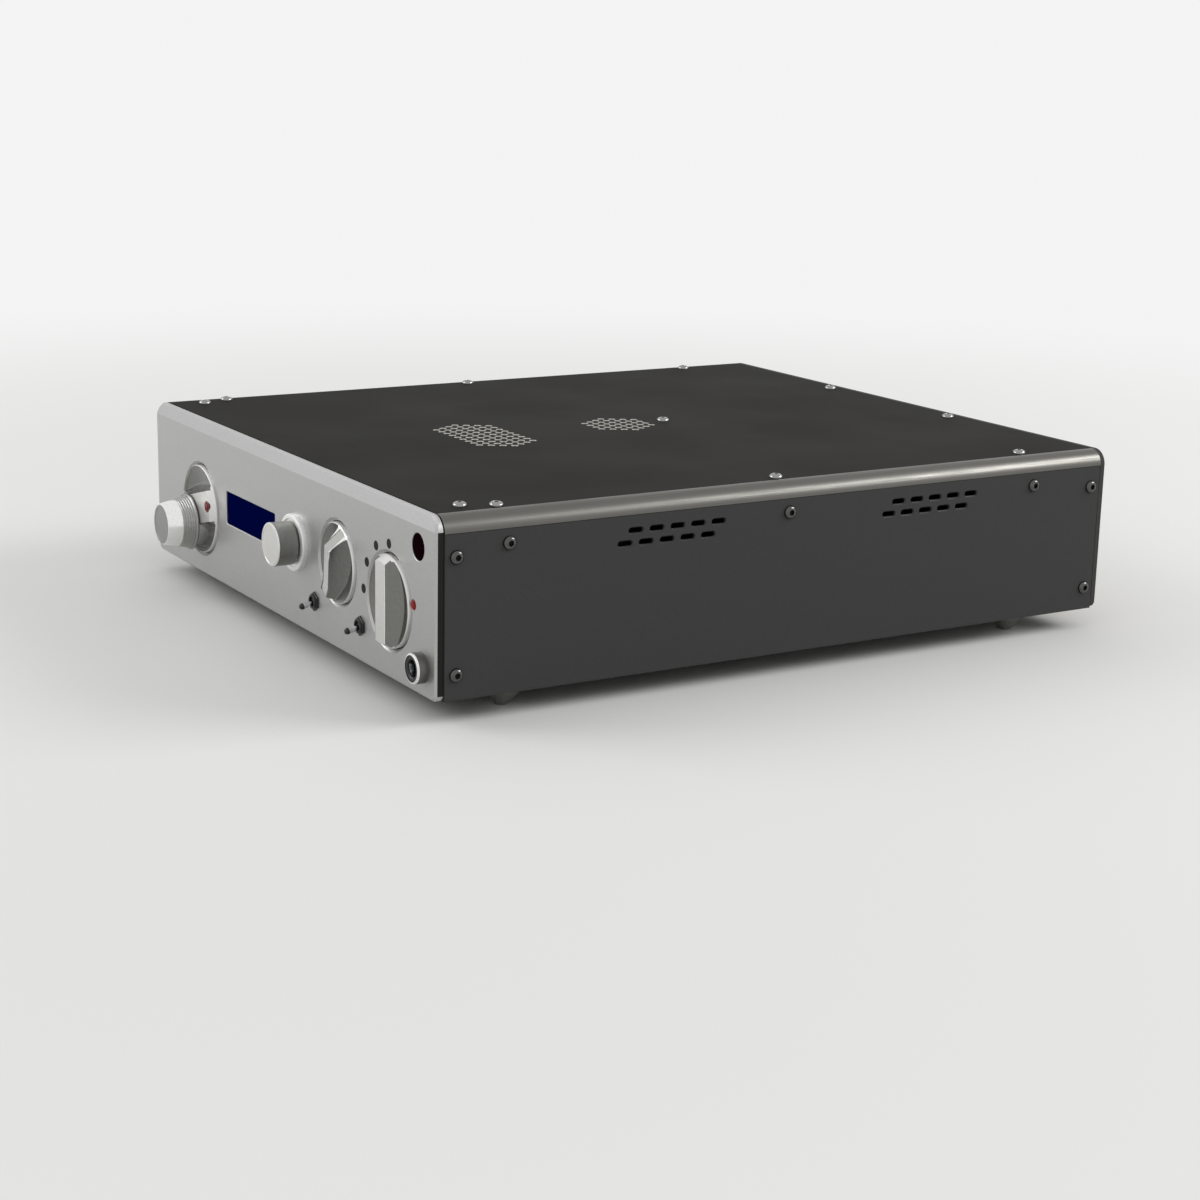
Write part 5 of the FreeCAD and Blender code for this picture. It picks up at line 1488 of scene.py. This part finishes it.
class PREAMP_OT_stage(PreampOperator):
    """Pale floor, soft light and the camera."""

    bl_idname = "preamp.stage"
    bl_label = "Stage"

    def build(self, sizes):
        material = pale_floor()
        bm = bmesh.new()
        bmesh.ops.create_grid(bm, x_segments=1, y_segments=1, size=FLOOR_HALF_SIZE)
        mesh = bpy.data.meshes.new("floor")
        bm.to_mesh(mesh)
        bm.free()
        mesh.materials.append(material)
        floor = bpy.data.objects.new("floor", mesh)
        bpy.context.collection.objects.link(floor)

        world = bpy.data.worlds.new("studio")
        world.use_nodes = True
        tree = world.node_tree
        tree.nodes.clear()
        place = add_node(tree, "ShaderNodeTexCoord")
        parts = add_node(tree, "ShaderNodeSeparateXYZ", None, {"Vector": place.outputs["Generated"]})
        rise = add_node(tree, "ShaderNodeMapRange", None, {
            "Value": parts.outputs["Z"], "From Min": 0.0, "From Max": SKY_TOP,
            "To Min": SKY_LIGHT[0], "To Max": SKY_LIGHT[1]})
        strength = add_node(tree, "ShaderNodeMix", {"data_type": "FLOAT"}, {
            "Factor": seen_ray(tree), "A": rise.outputs["Result"], "B": BACKDROP})
        sky = add_node(tree, "ShaderNodeBackground", None, {
            "Color": (1.0, 1.0, 1.0, 1.0), "Strength": strength.outputs["Result"]})
        add_node(tree, "ShaderNodeOutputWorld", None, {"Surface": sky.outputs["Background"]})
        bpy.context.scene.world = world

        for softbox in SOFTBOXES:
            soft_light(*softbox)

        azimuth, elevation = math.radians(CAMERA_AZIMUTH), math.radians(CAMERA_ELEVATION)
        roll = math.radians(CAMERA_ROLL)
        back = Vector((math.sin(azimuth) * math.cos(elevation), -math.cos(azimuth) * math.cos(elevation),
                       math.sin(elevation)))
        right = (-back).cross(Vector((0.0, 0.0, 1.0))).normalized()
        up = right.cross(-back)
        level = (right * math.cos(roll) + up * math.sin(roll), up * math.cos(roll) - right * math.sin(roll))
        data = bpy.data.cameras.new("camera")
        data.lens = CAMERA_LENS
        data.sensor_width = SENSOR_WIDTH
        data.clip_start, data.clip_end = CAMERA_CLIP
        camera = bpy.data.objects.new("camera", data)
        bpy.context.collection.objects.link(camera)
        turn = Matrix((level[0], level[1], back)).transposed().to_4x4()
        camera.matrix_world = Matrix.Translation(CAMERA_PLACE) @ turn
        bpy.context.scene.camera = camera
        bpy.context.scene.view_settings.view_transform = "Standard"


class PREAMP_PT_panel(bpy.types.Panel):
    """Sidebar panel with the sizes and the build steps."""

    bl_idname = "PREAMP_PT_panel"
    bl_label = "Preamplifier"
    bl_space_type = "VIEW_3D"
    bl_region_type = "UI"
    bl_category = "Preamplifier"

    def draw(self, context):
        sizes = context.scene.preamp_sizes
        for key in PreampSizes.__annotations__:
            self.layout.prop(sizes, key)
        for step in STEPS:
            self.layout.operator(step.bl_idname)


STEPS = (
    PREAMP_OT_stage,
    PREAMP_OT_front_plate,
    PREAMP_OT_top_cover,
    PREAMP_OT_side_covers,
    PREAMP_OT_corner_rails,
    PREAMP_OT_rear_panel,
    PREAMP_OT_screws,
    PREAMP_OT_feet,
    PREAMP_OT_dials,
    PREAMP_OT_knobs,
    PREAMP_OT_lamps,
    PREAMP_OT_windows,
    PREAMP_OT_toggles,
    PREAMP_OT_headphone_socket,
    PREAMP_OT_marks,
    PREAMP_OT_phono_sockets,
    PREAMP_OT_balanced_sockets,
    PREAMP_OT_mains_inlet,
    PREAMP_OT_earth_terminal,
    PREAMP_OT_inside,
)
CLASSES = (PreampSizes, *STEPS, PREAMP_PT_panel)


def register():
    for cls in CLASSES:
        bpy.utils.register_class(cls)
    bpy.types.Scene.preamp_sizes = bpy.props.PointerProperty(type=PreampSizes)


def unregister():
    del bpy.types.Scene.preamp_sizes
    for cls in reversed(CLASSES):
        bpy.utils.unregister_class(cls)


def main():
    """Register the add-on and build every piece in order."""
    register()
    FINISHES.update(make_finishes(bpy.context.scene.preamp_sizes))
    for step in STEPS:
        group, name = step.bl_idname.split(".")
        if "FINISHED" not in getattr(getattr(bpy.ops, group), name)():
            raise RuntimeError(step.bl_label + " wasn't built")


if __name__ == "__main__":
    main()
